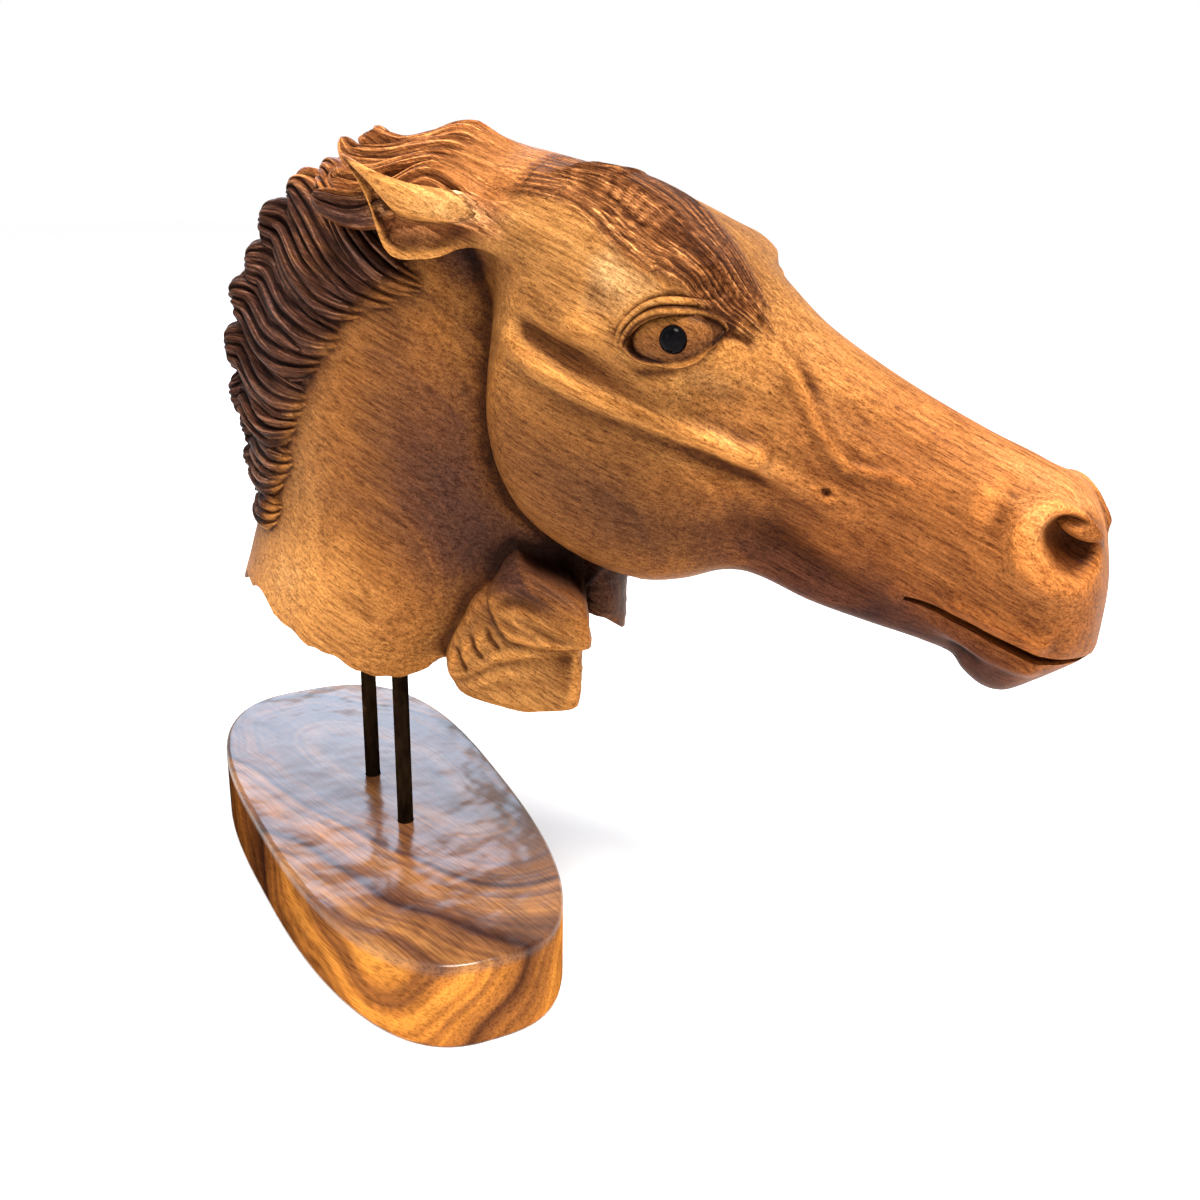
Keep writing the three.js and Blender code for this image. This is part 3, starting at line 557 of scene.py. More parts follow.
def head_side(along, height):
    """How far out the side of the head lies at one place in side view."""
    corners = head_corners([along])
    u = np.arange(0, 6, 0.02)
    loop = loop_point(corners, u[None])[0]
    crossing = (loop[:-1, 1] >= height) & (loop[1:, 1] < height)
    t = (loop[:-1, 1] - height) / np.maximum(loop[:-1, 1] - loop[1:, 1], 1e-9)
    out = (loop[:-1, 0] + (loop[1:, 0] - loop[:-1, 0]) * t)[crossing]
    return float(out.max(initial=0) + carving(np.array(along), np.array(height)) * 0.8)


base_top, neck_clearance, neck_lowest = 42, 100, 33.0
rod_offset = (2.5, 1.2)
carving_foot = np.array([*rod_offset, base_top + neck_clearance - neck_lowest])
poll = np.array([88, 0, 253.0])
head_pitch, head_roll = math.radians(27), math.radians(5)
head_turn = np.array(Matrix.Rotation(head_pitch, 3, "Y") @ Matrix.Rotation(head_roll, 3, "X"))


def into_place(points):
    return np.asarray(points, float) + carving_foot


def from_head(points):
    return into_place(np.asarray(points, float) @ head_turn.T + poll)


def head_places(place):
    """Places in mm as along, out and height in the head's own frame."""
    return ((np.asarray(place) - carving_foot - poll) @ head_turn).T


def turn_from_head(direction):
    direction = np.asarray(direction, float) @ head_turn.T
    return direction / np.linalg.norm(direction)


def skin(name, rings):
    """A closed mesh over rings of points in mm, with a fan at each end, facing out."""
    rings = np.asarray(rings, float)
    count, around = rings.shape[:2]
    points = np.concatenate([rings.reshape(-1, 3), rings[0].mean(0)[None], rings[-1].mean(0)[None]]) / 1000
    r, k = np.meshgrid(np.arange(count - 1), np.arange(around), indexing="ij")
    a, b = (r * around + k).ravel(), (r * around + (k + 1) % around).ravel()
    faces = np.stack([a, b, b + around, a + around], -1).tolist()
    first, last = count * around, count * around + 1
    end = (count - 1) * around
    faces += [[first, (i + 1) % around, i] for i in range(around)]
    faces += [[last, end + i, end + (i + 1) % around] for i in range(around)]
    corners = points[np.array([[f[0], f[1], f[2]] for f in faces])]
    second = points[np.array([[f[0], f[2], f[-1]] for f in faces])]
    volume = sum((t[:, 0] * np.cross(t[:, 1], t[:, 2])).sum() for t in (corners, second))
    if volume < 0:
        faces = [f[::-1] for f in faces]
    mesh = bpy.data.meshes.new(name)
    mesh.from_pydata(points.tolist(), [], faces)
    mesh.update()
    solid = bpy.data.objects.new(name, mesh)
    bpy.context.scene.collection.objects.link(solid)
    return solid


def join_or_cut(body, tools, operation):
    """Joins or cuts the body with all of the tools at once, which are used up."""
    group = bpy.data.collections.new("tools")
    for tool in tools:
        group.objects.link(tool)
    step = body.modifiers.new("step", "BOOLEAN")
    step.operation, step.solver = operation, "MANIFOLD"
    step.operand_type, step.collection = "COLLECTION", group
    bpy.ops.object.select_all(action="DESELECT")
    bpy.context.view_layer.objects.active = body
    bpy.ops.object.modifier_apply(modifier="step")
    for tool in tools:
        bpy.data.objects.remove(tool)
    bpy.data.collections.remove(group)
    return body


# The head itself, with a finer net over the eye and the muzzle.
stations = [-22.0]
while stations[-1] < 300:
    here = stations[-1]
    fine = 84 < here < 124 or here > 246
    stations.append(here + (1.1 if fine else 1.5 if here > -6 else 3))
stations = np.minimum(np.array(stations), 301)
side_places = np.interp(np.linspace(0, 1, 98), [0, 0.24, 0.36, 0.78, 0.9, 1], [0, 1, 2, 4, 5, 6])
round_places = np.concatenate([side_places, (12 - side_places[1:-1])[::-1]])
skull = skin("skull", from_head(head_point(stations[:, None], round_places[None, :])))

# The neck, in flat sections, with the mass of the mane along its back.
neck_back = smooth_line([
    (-14, -76), (12, -82), (39, -84), (66, -75), (92, -66), (105, -62), (141, -66), (166, -64),
    (191, -58), (211, -48), (231, -34), (246, -16), (258, 10)])
neck_front = smooth_line([
    (-14, 60), (14, 66), (36, 82), (51, 93), (71, 103), (91, 109), (110, 112), (141, 108), (191, 102),
    (231, 104), (258, 108)])
neck_half = smooth_line([
    (-14, 40), (12, 45), (39, 48), (66, 48), (92, 45), (141, 38), (191, 33), (231, 28), (258, 18)])
neck_shares = [(0, 0), (0.05, 0.36), (0.2, 0.7), (0.45, 1), (0.68, 0.98), (0.84, 0.66), (0.95, 0.36), (1, 0)]
neck_out = smooth_line(neck_shares)


def neck_corners(height):
    back, front, half = neck_back(height), neck_front(height), neck_half(height)
    near = [(back + share * (front - back), -out * half) for share, out in neck_shares]
    far = [(x, -y) for x, y in near[1:-1]][::-1]
    return np.stack([np.stack(corner, -1) for corner in near + far], 1)


def neck_side(x, height):
    back, front = neck_back(height), neck_front(height)
    place = np.clip((x - back) / (front - back), 0, 1)
    return neck_out(place) * neck_half(height)


heights = np.linspace(-14, 258, 130)
round_neck = np.linspace(0, 14, 130, endpoint=False)
sections = loop_point(neck_corners(heights), np.tile(round_neck, (len(heights), 1)))
neck_rings = np.dstack([sections, np.broadcast_to(heights[:, None], sections.shape[:2])])
neck = skin("neck", into_place(neck_rings))

# Below its torn edge the neck is cut away.
torn_edge = smooth_line([
    (-110, 60), (-92, 44), (-84, 45), (-72, 53), (-58, 52), (-46, 50), (-34, 43), (-18, 38), (-4, 34),
    (9, 31), (22, 26), (31, 23), (42, 24), (50, 30), (58, 34), (70, 30), (120, 26)])
edge_x = np.linspace(-110, 120, 220)
across_y = np.linspace(-80, 80, 50)


def torn_height(x, y):
    chips = 2.0 * np.abs(np.sin(x * 0.115 + 0.6 * np.sin(y * 0.11) + 0.4)) ** 0.7
    chips += 0.5 * np.sin(x * 0.47 + y * 0.21 + 1.3) - 1.3
    return torn_edge(x) + chips


torn_rings = []
for y in across_y:
    top = np.stack([edge_x, np.full_like(edge_x, y), torn_height(edge_x, y)], -1)
    torn_rings.append(np.concatenate([top, [[120, y, -40], [-110, y, -40]]]))
torn = skin("torn", into_place(torn_rings))
join_or_cut(neck, [torn], "DIFFERENCE")


# Locks of hair: tapering sweeps with fine furrows over their outer face.
def along_curve(points, stations):
    """Places and directions along a smooth curve through points."""
    points = np.asarray(points, float)
    padded = np.concatenate([[2 * points[0] - points[1]], points, [2 * points[-1] - points[-2]]])
    s = np.linspace(0, len(points) - 1, stations)
    i = np.minimum(s.astype(int), len(points) - 2)
    t = (s - i)[:, None]
    a, b, c, d = (padded[i + k] for k in range(4))
    place = curve_between(a, b, c, d, t)
    ahead = 0.5 * ((c - a) + 2 * (2 * a - 5 * b + 4 * c - d) * t + 3 * (3 * b - a - 3 * c + d) * t ** 2)
    return place, ahead / np.linalg.norm(ahead, axis=1, keepdims=True)


outer_turns = np.linspace(0, math.pi, 43)
inner_turns = np.linspace(math.pi, 2 * math.pi, 8)[1:-1]
lock_turns = np.concatenate([outer_turns, inner_turns])
strand_places, strand_lies = [], []


def lock(points, facing, width, thickness, strands, seed, stations=36, root=0.15):
    """One lock of hair, from its sunken root to its tip; its places are noted for the lie of the strands."""
    place, ahead = along_curve(points, stations)
    across = np.cross(ahead, facing)
    across /= np.linalg.norm(across, axis=1, keepdims=True)
    outward = np.cross(across, ahead)
    t = np.linspace(0, 1, stations)[:, None]
    swell = np.clip(np.minimum(1, root + 3.2 * t) * np.sqrt(1 - t ** 3.4), 0.03, None)
    side = np.cos(lock_turns)[None]
    drift = 0.10 * np.sin(5.2 * t + seed * 1.7) + 0.05 * np.sin(11 * t + seed)
    furrow = np.cos((side + drift) * math.pi * strands / 2 + seed)
    furrow = 1 - 2 * np.abs(0.5 - 0.5 * furrow) ** 1.5
    depth = 0.20 + 0.06 * np.sin(7 * t + seed * 2.3 + side * 3)
    outer = np.sin(lock_turns)[None] > 0
    rise = np.sin(lock_turns)[None] * (1 + np.where(outer, depth * furrow, 0))
    rings = (place[:, None] + across[:, None] * (side * width * swell / 2)[..., None]
             + outward[:, None] * (rise * thickness * swell / 2)[..., None])
    own = np.full_like(side, seed * 37.0)
    lie = np.stack(np.broadcast_arrays(side * width / 2, t * 100, own + 0 * t), -1)
    strand_places.append(rings.reshape(-1, 3))
    strand_lies.append(lie.reshape(-1, 3))
    return skin("lock", rings)


# Each row is a lock of the mane: the place of its root and of its tip in side view.
mane_rows = [
    ((62, 203), (-21, 249), 22), ((49, 201), (-41, 238), 27), ((33, 195), (-58, 227), 31),
    ((19, 185), (-69, 207), 33), ((5, 171), (-79, 188), 32), ((-6, 156), (-86, 166), 32),
    ((-14, 142), (-84, 142), 30), ((-22, 128), (-78, 123), 29), ((-29, 115), (-76, 106), 27),
    ((-35, 102), (-69, 90), 25),
]
hair = []
for side in (-1, 1):
    for i, (root, tip, size) in enumerate(mane_rows):
        root, tip = np.array(root, float), np.array(tip, float)
        root += (6, -5) if i % 2 else (2, -2)
        if side > 0:
            tip += (3, 4 * math.sin(i * 2.1))
        hook = 3.5 + 1.5 * math.sin(i * 1.9)
        points = []
        for s, bow in ((0, -1), (0.28, -7), (0.55, -5), (0.8, 3), (0.93, hook), (1, 0.4 * hook)):
            x, z = root + (tip - root) * s + (0, bow * (1 - 0.05 * i))
            out = max(float(neck_side(x, z)), 5) * (1 - 0.22 * s) - 1.5 - (3.5 if s == 0 else 0)
            points.append((x, side * out, z))
        facing, thickness, seed = (0.1, side, 0.15), 17 - 3 * (i % 2), i + 20 * side + 0.3
        hair.append(lock(into_place(points), facing, size, thickness, 9, seed))

# The tuft between the ears streams back over the poll in one long wave.
for i, out in enumerate((-37, -27, -17, -6, 6, 18, 28)):
    drop = 0.012 * out * out
    wave = 2 * math.cos(i * 2.1)
    spine = [
        (98, 242 - drop), (82, 252.5 - drop), (63, 260.2 + wave - drop), (45, 259 - 1.2 * drop),
        (28, 258 - 1.4 * drop), (12, 262 + wave - 1.6 * drop),
        (4 + 5 * (i % 2), 271 - 3 * (i % 2) - 1.8 * drop)]
    points = [(x, out * (0.8 + 0.05 * k), z) for k, (x, z) in enumerate(spine)]
    hair.append(lock(into_place(points), (0, out * 0.03, 1), 20, 17, 6, i * 1.3 + 50, 50, 0.5))


# The ears are laid back, each a leaf with its hollow turned outwards.
ear_upper = [
    (58, 36, 2), (34, 38.5, 0), (14, 42.5, -2), (-4, 47, -8), (-24, 49.5, -15), (-44, 48, -19.5),
    (-62, 44, -22)]
ear_lower = [
    (54, 37, -24), (30, 39.5, -25), (10, 43.5, -28), (-8, 47, -41), (-24, 48.5, -46.5), (-42, 49, -30),
    (-62, 44, -22.6)]
ear_places, ear_dips = [], []


def ear(side):
    upper, _ = along_curve(ear_upper, 52)
    lower, _ = along_curve(ear_lower, 52)
    t = np.linspace(0, 1, 52)[:, None]
    f = np.linspace(0, 1, 34)[None]
    start = np.interp(t, [0, 0.28, 0.4, 0.6, 0.85, 1], [0.70, 0.66, 0.45, 0.38, 0.42, 0.6])
    stop = np.interp(t, [0, 0.28, 0.5, 1], [0.84, 0.88, 0.91, 0.93])
    depth = np.interp(t, [0, 0.28, 0.4, 0.6, 0.85, 0.95, 1], [0, 0, 4.0, 5.2, 3.6, 1.0, 0])
    dip = np.sin(math.pi * np.clip((f - start) / (stop - start), 0, 1)) ** 0.75
    thick = np.interp(t, [0, 0.15, 0.4, 0.85, 1], [10, 10, 8, 4, 1.2])
    rim = np.sin(math.pi * np.clip(f, 0.02, 0.98)) ** 0.4
    crown = np.interp(t, [0, 0.3, 0.7, 1], [0, 2.2, 2.0, 0.6]) * np.sin(math.pi * np.clip(f / 0.5, 0, 1))
    face = upper[:, None] + (lower - upper)[:, None] * f[..., None]
    outer = face.copy()
    outer[..., 1] += -thick * 0.3 + 0.3 * thick * rim + crown - depth * dip
    inner = face[:, ::-1].copy()
    inner[..., 1] -= thick * (0.3 + 0.7 * rim) + depth * dip[:, ::-1] * 0.8
    rings = np.concatenate([outer, inner[:, 1:-1:3]], 1)
    rings[..., 1] *= side
    ear_places.extend(from_head(rings).reshape(-1, 3).tolist())
    no_dip = 0 * rings[:, face.shape[1]:, 0]
    ear_dips.extend(np.concatenate([dip * depth / 5.2, no_dip], 1).ravel().tolist())
    return skin("ear", from_head(rings))


ears = [ear(side) for side in (-1, 1)]

# The throat breaks off in folded leaves in front of the neck, one standing over the other, with three
# small ribs behind them and a hair-grooved lobe on the far side.
throat_behind = smooth_line([
    (15, 84), (17, 68), (20, 62), (25, 59), (31, 57), (38, 57), (46, 60), (56, 66), (70, 74), (100, 88)])
throat_front = smooth_line([
    (15, 92), (17, 106), (20, 113), (23, 126), (25, 132), (40, 134), (52, 134), (54, 135), (56, 140),
    (66, 139.5), (74, 136), (79, 128), (83, 116), (87, 102), (93, 90)])
leaf_crest = [(84, 68), (88, 71), (97, 77), (110, 80), (125, 76), (136, 71), (142, 66)]
upper_leaf_edge = [(87, 73), (90, 66), (94, 59), (99, 54), (111, 53), (126, 54), (142, 57)]
lower_leaf_edge = [(60, 24), (74, 30), (89, 40), (100, 44), (115, 48), (136, 52)]
throat_seams = [
    ("first rib", [(63, 27), (66, 34), (68, 43)], 2.4, 2.6),
    ("second rib", [(72, 34), (74, 43), (76, 51)], 2.4, 2.8),
    ("third rib", [(81, 42), (82, 50), (83, 58)], 2.2, 2.8),
    ("first groove", [(69, 45), (72, 36), (75, 29)], -2.6, 1.7),
    ("second groove", [(76, 53), (80, 44), (86, 38)], -2.6, 1.7),
    ("third groove", [(84, 60), (88, 51), (96, 44)], -2.2, 1.7),
    ("middle ridge", [(84, 41), (96, 46), (112, 50)], 1.6, 2.0),
    ("lower ridge", [(62, 23), (76, 25), (92, 34), (106, 40)], 1.6, 3.4),
    ("lower hollow", [(84, 27), (104, 31), (124, 33)], -1.4, 5.0),
    ("crease in the leaf", [(97, 68), (110, 63), (125, 58), (138, 56)], -1.8, 2.0),
    ("second crease", [(93, 64), (103, 60), (118, 56)], -1.5, 1.8),
    ("hollow of the leaf", [(90, 68), (104, 73), (122, 70)], -2.6, 4.0),
]


def above(points, x, z):
    line = np.array(points, float)
    return z - np.interp(x, line[:, 0], line[:, 1])


def crest_fall(rise):
    """How far a face has fallen back above its crest, with a rounded start."""
    rise = np.clip(rise + 2, 0, 40)
    return rise * rise / (rise + 5)


def throat_slab():
    heights = np.concatenate([
        np.linspace(15, 24, 14), np.linspace(25, 52, 30), np.linspace(52.6, 58, 9), np.linspace(59, 93, 36)])
    rings = []
    for z in heights:
        behind, front = throat_behind(z), throat_front(z)
        x = behind + (front - behind) * np.linspace(0, 1, 84)
        out = 32 + 5 * np.sin(math.pi * blend_in(x, 55, 110)) - 1.25 * crest_fall(above(leaf_crest, x, z))
        leaf = above(upper_leaf_edge, x, z) * np.clip((x - 84) / 6, -1, 1)
        out = out + 3.6 * np.clip(leaf / 1.6 + 0.5, 0, 1) * blend_in(x, 84, 5)
        under = 1 - np.clip(above(lower_leaf_edge, x, z) / 2.2 + 0.5, 0, 1)
        out = out - 2.0 * under * blend_in(z, 14, 8) + 2.0
        for _, points, rise, reach in throat_seams:
            out = out + line_rise(points, x, z + 0 * x, rise, reach, (0.35, 0.35))
        out = out - 8 * (1 - np.clip((x - behind) / 9, 0, 1)) ** 2
        out = out - 2.5 * (1 - np.clip((front - x) / 2.5, 0, 1)) ** 2
        out = out - 8 * (1 - blend_in(z, 15, 8)) ** 2
        near = np.stack([x, -out, np.full_like(x, z)], -1)
        far_x = np.linspace(front - 0.6, behind + 1, 14)
        back = np.minimum(8, -out[-1] + 4 + 1.25 * (front - far_x))
        far = np.stack([far_x, back, np.full_like(far_x, z)], -1)
        rings.append(np.concatenate([near, far]))
    return skin("throat", into_place(rings))


def throat_lobe():
    outline = np.array([
        (90, 66), (92, 84), (110, 96), (128, 90), (131, 76), (131, 60), (130, 40), (121, 52), (110, 58),
        (98, 63)], float)
    turn = np.linspace(0, len(outline), 110, endpoint=False)
    straight = np.stack([np.interp(turn, np.arange(len(outline) + 1), np.append(outline[:, k], outline[0, k]))
                         for k in (0, 1)], -1)
    dense = 0.3 * loop_point(outline[None], turn[None])[0] + 0.7 * straight
    middle = outline.mean(0)
    rings = []
    for y, size in ((-3, 0.4), (-4, 0.8), (-2, 0.93), (2, 1), (20, 1), (25, 0.94), (27, 0.7)):
        ring = middle + (dense - middle) * size
        ring[:, 1] = np.maximum(ring[:, 1], np.interp(y, [2, 20], [57, 40]))
        furrow = 0.8 * np.sin((ring[:, 1] + 0.5 * ring[:, 0]) * 1.1) * (y < 3)
        rings.append(np.stack([ring[:, 0], y + furrow, ring[:, 1]], -1))
    return skin("lobe", into_place(rings))


throat = [throat_slab(), throat_lobe()]

# The eyes: a ball in an almond of lids, with a bore for the bead that is its pupil.
eye_tilt = math.radians(37.5)
eye_half, lid_rise, lid_fall = 19.0, 10.5, 8.0
bead_at, bead_half = (3.2, 0.6, 2), (5.5, 5.5, 4)


def eye_frame(side):
    """The middle of the eye, found from its bead, and its directions along, up and outward."""
    node = "left_eye_bead" if side > 0 else "right_eye_bead"
    low, high = (np.array(corner) * 1000 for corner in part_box(node))
    along = turn_from_head((math.cos(eye_tilt), 0, math.sin(eye_tilt)))
    outward = turn_from_head((0.22, side, 0.18))
    upward = -side * np.cross(outward, along)
    upward /= np.linalg.norm(upward)
    centre = (low + high) / 2 - bead_at[0] * along - bead_at[1] * upward - bead_at[2] * outward
    return centre, along, upward, outward


def eye_point(eye, x, y, z):
    centre, along, upward, outward = eye
    return centre + np.multiply.outer(x, along) + np.multiply.outer(y, upward) + np.multiply.outer(z, outward)


def lid_edge(turn, grow=0.0):
    height = np.where(np.sin(turn) > 0, lid_rise, lid_fall) + grow
    return (eye_half + grow) * np.cos(turn), height * np.sin(turn) * np.abs(np.sin(turn)) ** 0.3


def almond(eye, depths):
    turn = np.linspace(0, 2 * math.pi, 72, endpoint=False)
    x, y = lid_edge(turn)
    return skin("almond", [eye_point(eye, x * size, y * size, np.full_like(x, z)) for z, size in depths])


def ellipsoid(eye, at, sizes, name="ball", around=48, rows=26):
    turn = np.linspace(0, 2 * math.pi, around, endpoint=False)
    rings = []
    for tip in np.linspace(0.06, math.pi - 0.06, rows):
        ring = np.sin(tip)
        x = at[0] + sizes[0] * ring * np.cos(turn)
        y = at[1] + sizes[1] * ring * np.sin(turn)
        rings.append(eye_point(eye, x, y, at[2] + sizes[2] * np.cos(tip) + 0 * turn))
    return skin(name, rings)


def welt(points, radii, facing, flat=0.8):
    """A rounded raised seam along points, tapering by its radii."""
    place, ahead = along_curve(points, 48)
    radius = np.interp(np.linspace(0, 1, 48), np.linspace(0, 1, len(radii)), radii)
    across = np.cross(ahead, facing)
    across /= np.linalg.norm(across, axis=1, keepdims=True)
    outward = np.cross(across, ahead)
    turn = np.linspace(0, 2 * math.pi, 18, endpoint=False)
    rings = place[:, None] + radius[:, None, None] * (
        across[:, None] * np.cos(turn)[None, :, None] + flat * outward[:, None] * np.sin(turn)[None, :, None])
    return skin("welt", rings)


def lids(eye):
    outward = eye[3]
    seams = []
    for turn, grow, lift, radii in (
        (np.linspace(math.pi * 1.04, -0.14, 15), 0.8, 2.8, (0.5, 1.2, 1.6, 1.8, 1.8, 1.7, 1.4, 1.0, 0.5)),
        (np.linspace(math.pi * 1.0, math.pi * 1.96, 13), 0.4, 0.8, (0.5, 0.9, 1.2, 1.3, 1.2, 0.9, 0.5)),
        (np.linspace(math.pi * 0.98, math.pi * 0.06, 15), 4.4, 1.0,
         (0.3, 0.9, 1.3, 1.6, 1.7, 1.6, 1.3, 0.8, 0.3)),
    ):
        x, y = lid_edge(turn, grow)
        z = lift - 3.0 * (np.abs(x) / eye_half) ** 2.2 - 2.2 * np.clip(x / eye_half, 0, 1.3) ** 2
        points = head_places(eye_point(eye, x, y, z)).T
        for point in points:
            point[1] = math.copysign(min(abs(point[1]), head_side(point[0], point[2]) + 0.5 * lift), point[1])
        seams.append(welt(from_head(points), radii, outward, 0.75))
    return seams


eyes = [eye_frame(side) for side in (-1, 1)]


# The nostrils and the slit of the mouth are cut into the muzzle.
def nostril_frame(side):
    centre = from_head((270.5, side * (head_side(270, -2) - 3), -3))
    outward = turn_from_head((0.30, side, 0.12))
    along = turn_from_head((1, 0, 0.10))
    along = along - outward * (along @ outward)
    along /= np.linalg.norm(along)
    upward = -side * np.cross(outward, along)
    return centre, along, upward / np.linalg.norm(upward), outward


def nostril(side):
    frame = nostril_frame(side)
    turn = np.linspace(0, 2 * math.pi, 64, endpoint=False)
    rings = []
    for z, size in ((14, 1.12), (5, 1.03), (1, 0.97), (-4, 0.92), (-9, 0.8), (-13, 0.58), (-15.5, 0.28)):
        x = 13.5 * size * np.cos(turn) - 0.12 * z
        y = 10.2 * size * np.sin(turn) - 3.0 * size * np.cos(turn)
        rings.append(eye_point(frame, x, y, np.full_like(x, z)))
    return skin("nostril", rings)


def nostril_flap(side):
    return ellipsoid(nostril_frame(side), (2.5, 4.2, -10.5), (9.5, 4.0, 5.6), "flap", 40, 22)


nostril_edge = [
    (279, -2), (273, 2.5), (265, 5.0), (258, 4.6), (254, 0), (254, -7), (258, -13.5),
    (266, -17.5), (276, -18), (285, -14)]


def nostril_rim(side):
    """The rolled rim that runs round the back of the nostril and thins out at the front of the muzzle."""
    points = from_head([
        (along, side * (head_side(along, height) - 1.5), height) for along, height in nostril_edge])
    return welt(points, (0.8, 2.6, 3.8, 4.4, 4.6, 4.6, 4.3, 3.7, 2.4, 0.8), nostril_frame(side)[3], 0.85)


mouth_line = [(231, -57.5), (240, -54.5), (249, -52.5), (262, -50), (274, -48), (288, -46.5), (306, -42)]


def mouth(side):
    t = np.linspace(0, 1, len(mouth_line))
    s = np.linspace(0, 1, 60)
    along = smooth_line(list(zip(t, [a for a, _ in mouth_line])))(s)
    height = smooth_line(list(zip(t, [h for _, h in mouth_line])))(s)
    gap = smooth_line([(0, 0.9), (0.08, 1.4), (0.35, 1.8), (0.65, 2.4), (0.85, 2.1), (1, 1.3)])(s)
    rings = []
    for a, h, half in zip(along, height, gap):
        inner = max(2.0, head_side(min(a, 298), h) - 10)
        profile = [(inner, -0.4 * half), (inner + 5, -0.9 * half), (60, -1.1 * half), (60, 1.1 * half),
                   (inner + 5, 0.9 * half), (inner, 0.4 * half)]
        rings.append(from_head([(a, side * out, h + rise) for out, rise in profile]))
    return skin("mouth", rings)


def rod_bore(node):
    low, high = (np.array(corner) * 1000 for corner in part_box(node))
    turn = np.linspace(0, 2 * math.pi, 40, endpoint=False)
    radius = (high[0] - low[0]) / 2 + 0.3
    x, y = (low[0] + high[0]) / 2 + radius * np.cos(turn), (low[1] + high[1]) / 2 + radius * np.sin(turn)
    return skin("bore", [np.stack([x, y, np.full_like(x, z)], -1) for z in (low[2], high[2] + 0.3)])


def ear_pit(side):
    """The dark pocket under the ear's root, between the temple and the neck."""
    centre = from_head((2, side * 41, -36))
    along, upward, outward = (turn_from_head(v) for v in ((0.86, 0, 0.5), (-0.5, 0, 0.86), (0, side, 0)))
    return ellipsoid((centre, along, upward, outward), (0, 0, 0), (11, 4.5, 9), "pit")


horse = skull
horse.name = "carved_horse_head"
join_or_cut(horse, [neck, *throat, *hair], "UNION")
join_or_cut(horse, [ear_pit(side) for side in (-1, 1)], "DIFFERENCE")
join_or_cut(horse, ears + [nostril_rim(side) for side in (-1, 1)], "UNION")
join_or_cut(horse, [cutter(side) for side in (-1, 1) for cutter in (nostril, mouth)]
            + [almond(eye, [(9, 1.05), (0, 1), (-6, 0.8)]) for eye in eyes], "DIFFERENCE")
join_or_cut(horse, [nostril_flap(side) for side in (-1, 1)]
            + [piece for eye in eyes
               for piece in (ellipsoid(eye, (1, 0, -6.0), (17.5, 11.5, 8.2)), *lids(eye))], "UNION")
join_or_cut(horse, [ellipsoid(eye, bead_at, [h + 0.3 for h in bead_half]) for eye in eyes]
            + [rod_bore(node) for node in ("rear_rod", "front_rod")], "DIFFERENCE")

def mesh_numbers(items, name, size, kind=float):
    """One value of every item of a mesh, as an array with a row for each item."""
    numbers = np.empty(len(items) * size, kind)
    items.foreach_get(name, numbers)
    return numbers.reshape(-1, size)


def neighbour_counts(first, second, count):
    return np.maximum(np.bincount(first, minlength=count) + np.bincount(second, minlength=count), 1)[:, None]


def neighbour_totals(values, first, second):
    """The sum of each vertex's neighbours, by the two ends of every edge."""
    count = len(values)
    return np.stack([np.bincount(first, column[second], count) + np.bincount(second, column[first], count)
                     for column in values.T], -1)


# Loose inner skins are dropped, doubles merged, and the mesh is kept under its limit.
bpy.ops.object.select_all(action="DESELECT")
bpy.context.view_layer.objects.active = horse
horse.select_set(True)
bpy.ops.object.mode_set(mode="EDIT")
bpy.ops.mesh.select_all(action="SELECT")
bpy.ops.mesh.remove_doubles(threshold=0.00003)
bpy.ops.mesh.quads_convert_to_tris()
bpy.ops.object.mode_set(mode="OBJECT")


def keep_largest_skin(solid):
    mesh = solid.data
    first, second = mesh_numbers(mesh.edges, "vertices", 2, int).T
    label = np.arange(len(mesh.vertices))
    while True:
        low = np.minimum(label[first], label[second])
        new = label.copy()
        np.minimum.at(new, first, low)
        np.minimum.at(new, second, low)
        new = new[new]
        if (new == label).all():
            break
        label = new
    names, counts = np.unique(label, return_counts=True)
    loose = label != names[counts.argmax()]
    bpy.ops.object.mode_set(mode="EDIT")
    bpy.ops.mesh.select_mode(type="VERT")
    bpy.ops.mesh.select_all(action="DESELECT")
    bpy.ops.object.mode_set(mode="OBJECT")
    mesh.vertices.foreach_set("select", loose)
    bpy.ops.object.mode_set(mode="EDIT")
    bpy.ops.mesh.delete(type="VERT")
    bpy.ops.object.mode_set(mode="OBJECT")


keep_largest_skin(horse)
face_limit = 195000
if len(horse.data.polygons) > face_limit:
    thin = horse.modifiers.new("thin", "DECIMATE")
    thin.ratio = face_limit / len(horse.data.polygons)
    bpy.ops.object.modifier_apply(modifier="thin")


def relax(solid, share_of, times):
    """Softens the mesh where share_of, a function of its places in mm, is above 0."""
    mesh = solid.data
    count = len(mesh.vertices)
    place = mesh_numbers(mesh.vertices, "co", 3) * 1000
    first, second = mesh_numbers(mesh.edges, "vertices", 2, int).T
    share = share_of(place)
    part = np.nonzero(share > 0.01)[0]
    inside = np.zeros(count, bool)
    inside[part] = True
    keep = inside[first] | inside[second]
    first, second = first[keep], second[keep]
    degree = neighbour_counts(first, second, count)
    for _ in range(times):
        total = neighbour_totals(place, first, second)
        place[part] += 0.5 * share[part, None] * (total[part] / degree[part] - place[part])
    mesh.vertices.foreach_set("co", (place / 1000).ravel())
    mesh.update()


def ear_roots(place):
    along, out, height = head_places(place)
    share = blend_in(along, 0, 10) * blend_in(along, 66, -8)
    return share * blend_in(height, -36, 6) * blend_in(height, 12, -6) * (np.abs(out) > 24)


def muzzle_ends(place):
    along, _, height = head_places(place)
    return blend_in(along, 244, 8) * blend_in(height, -32, 8)


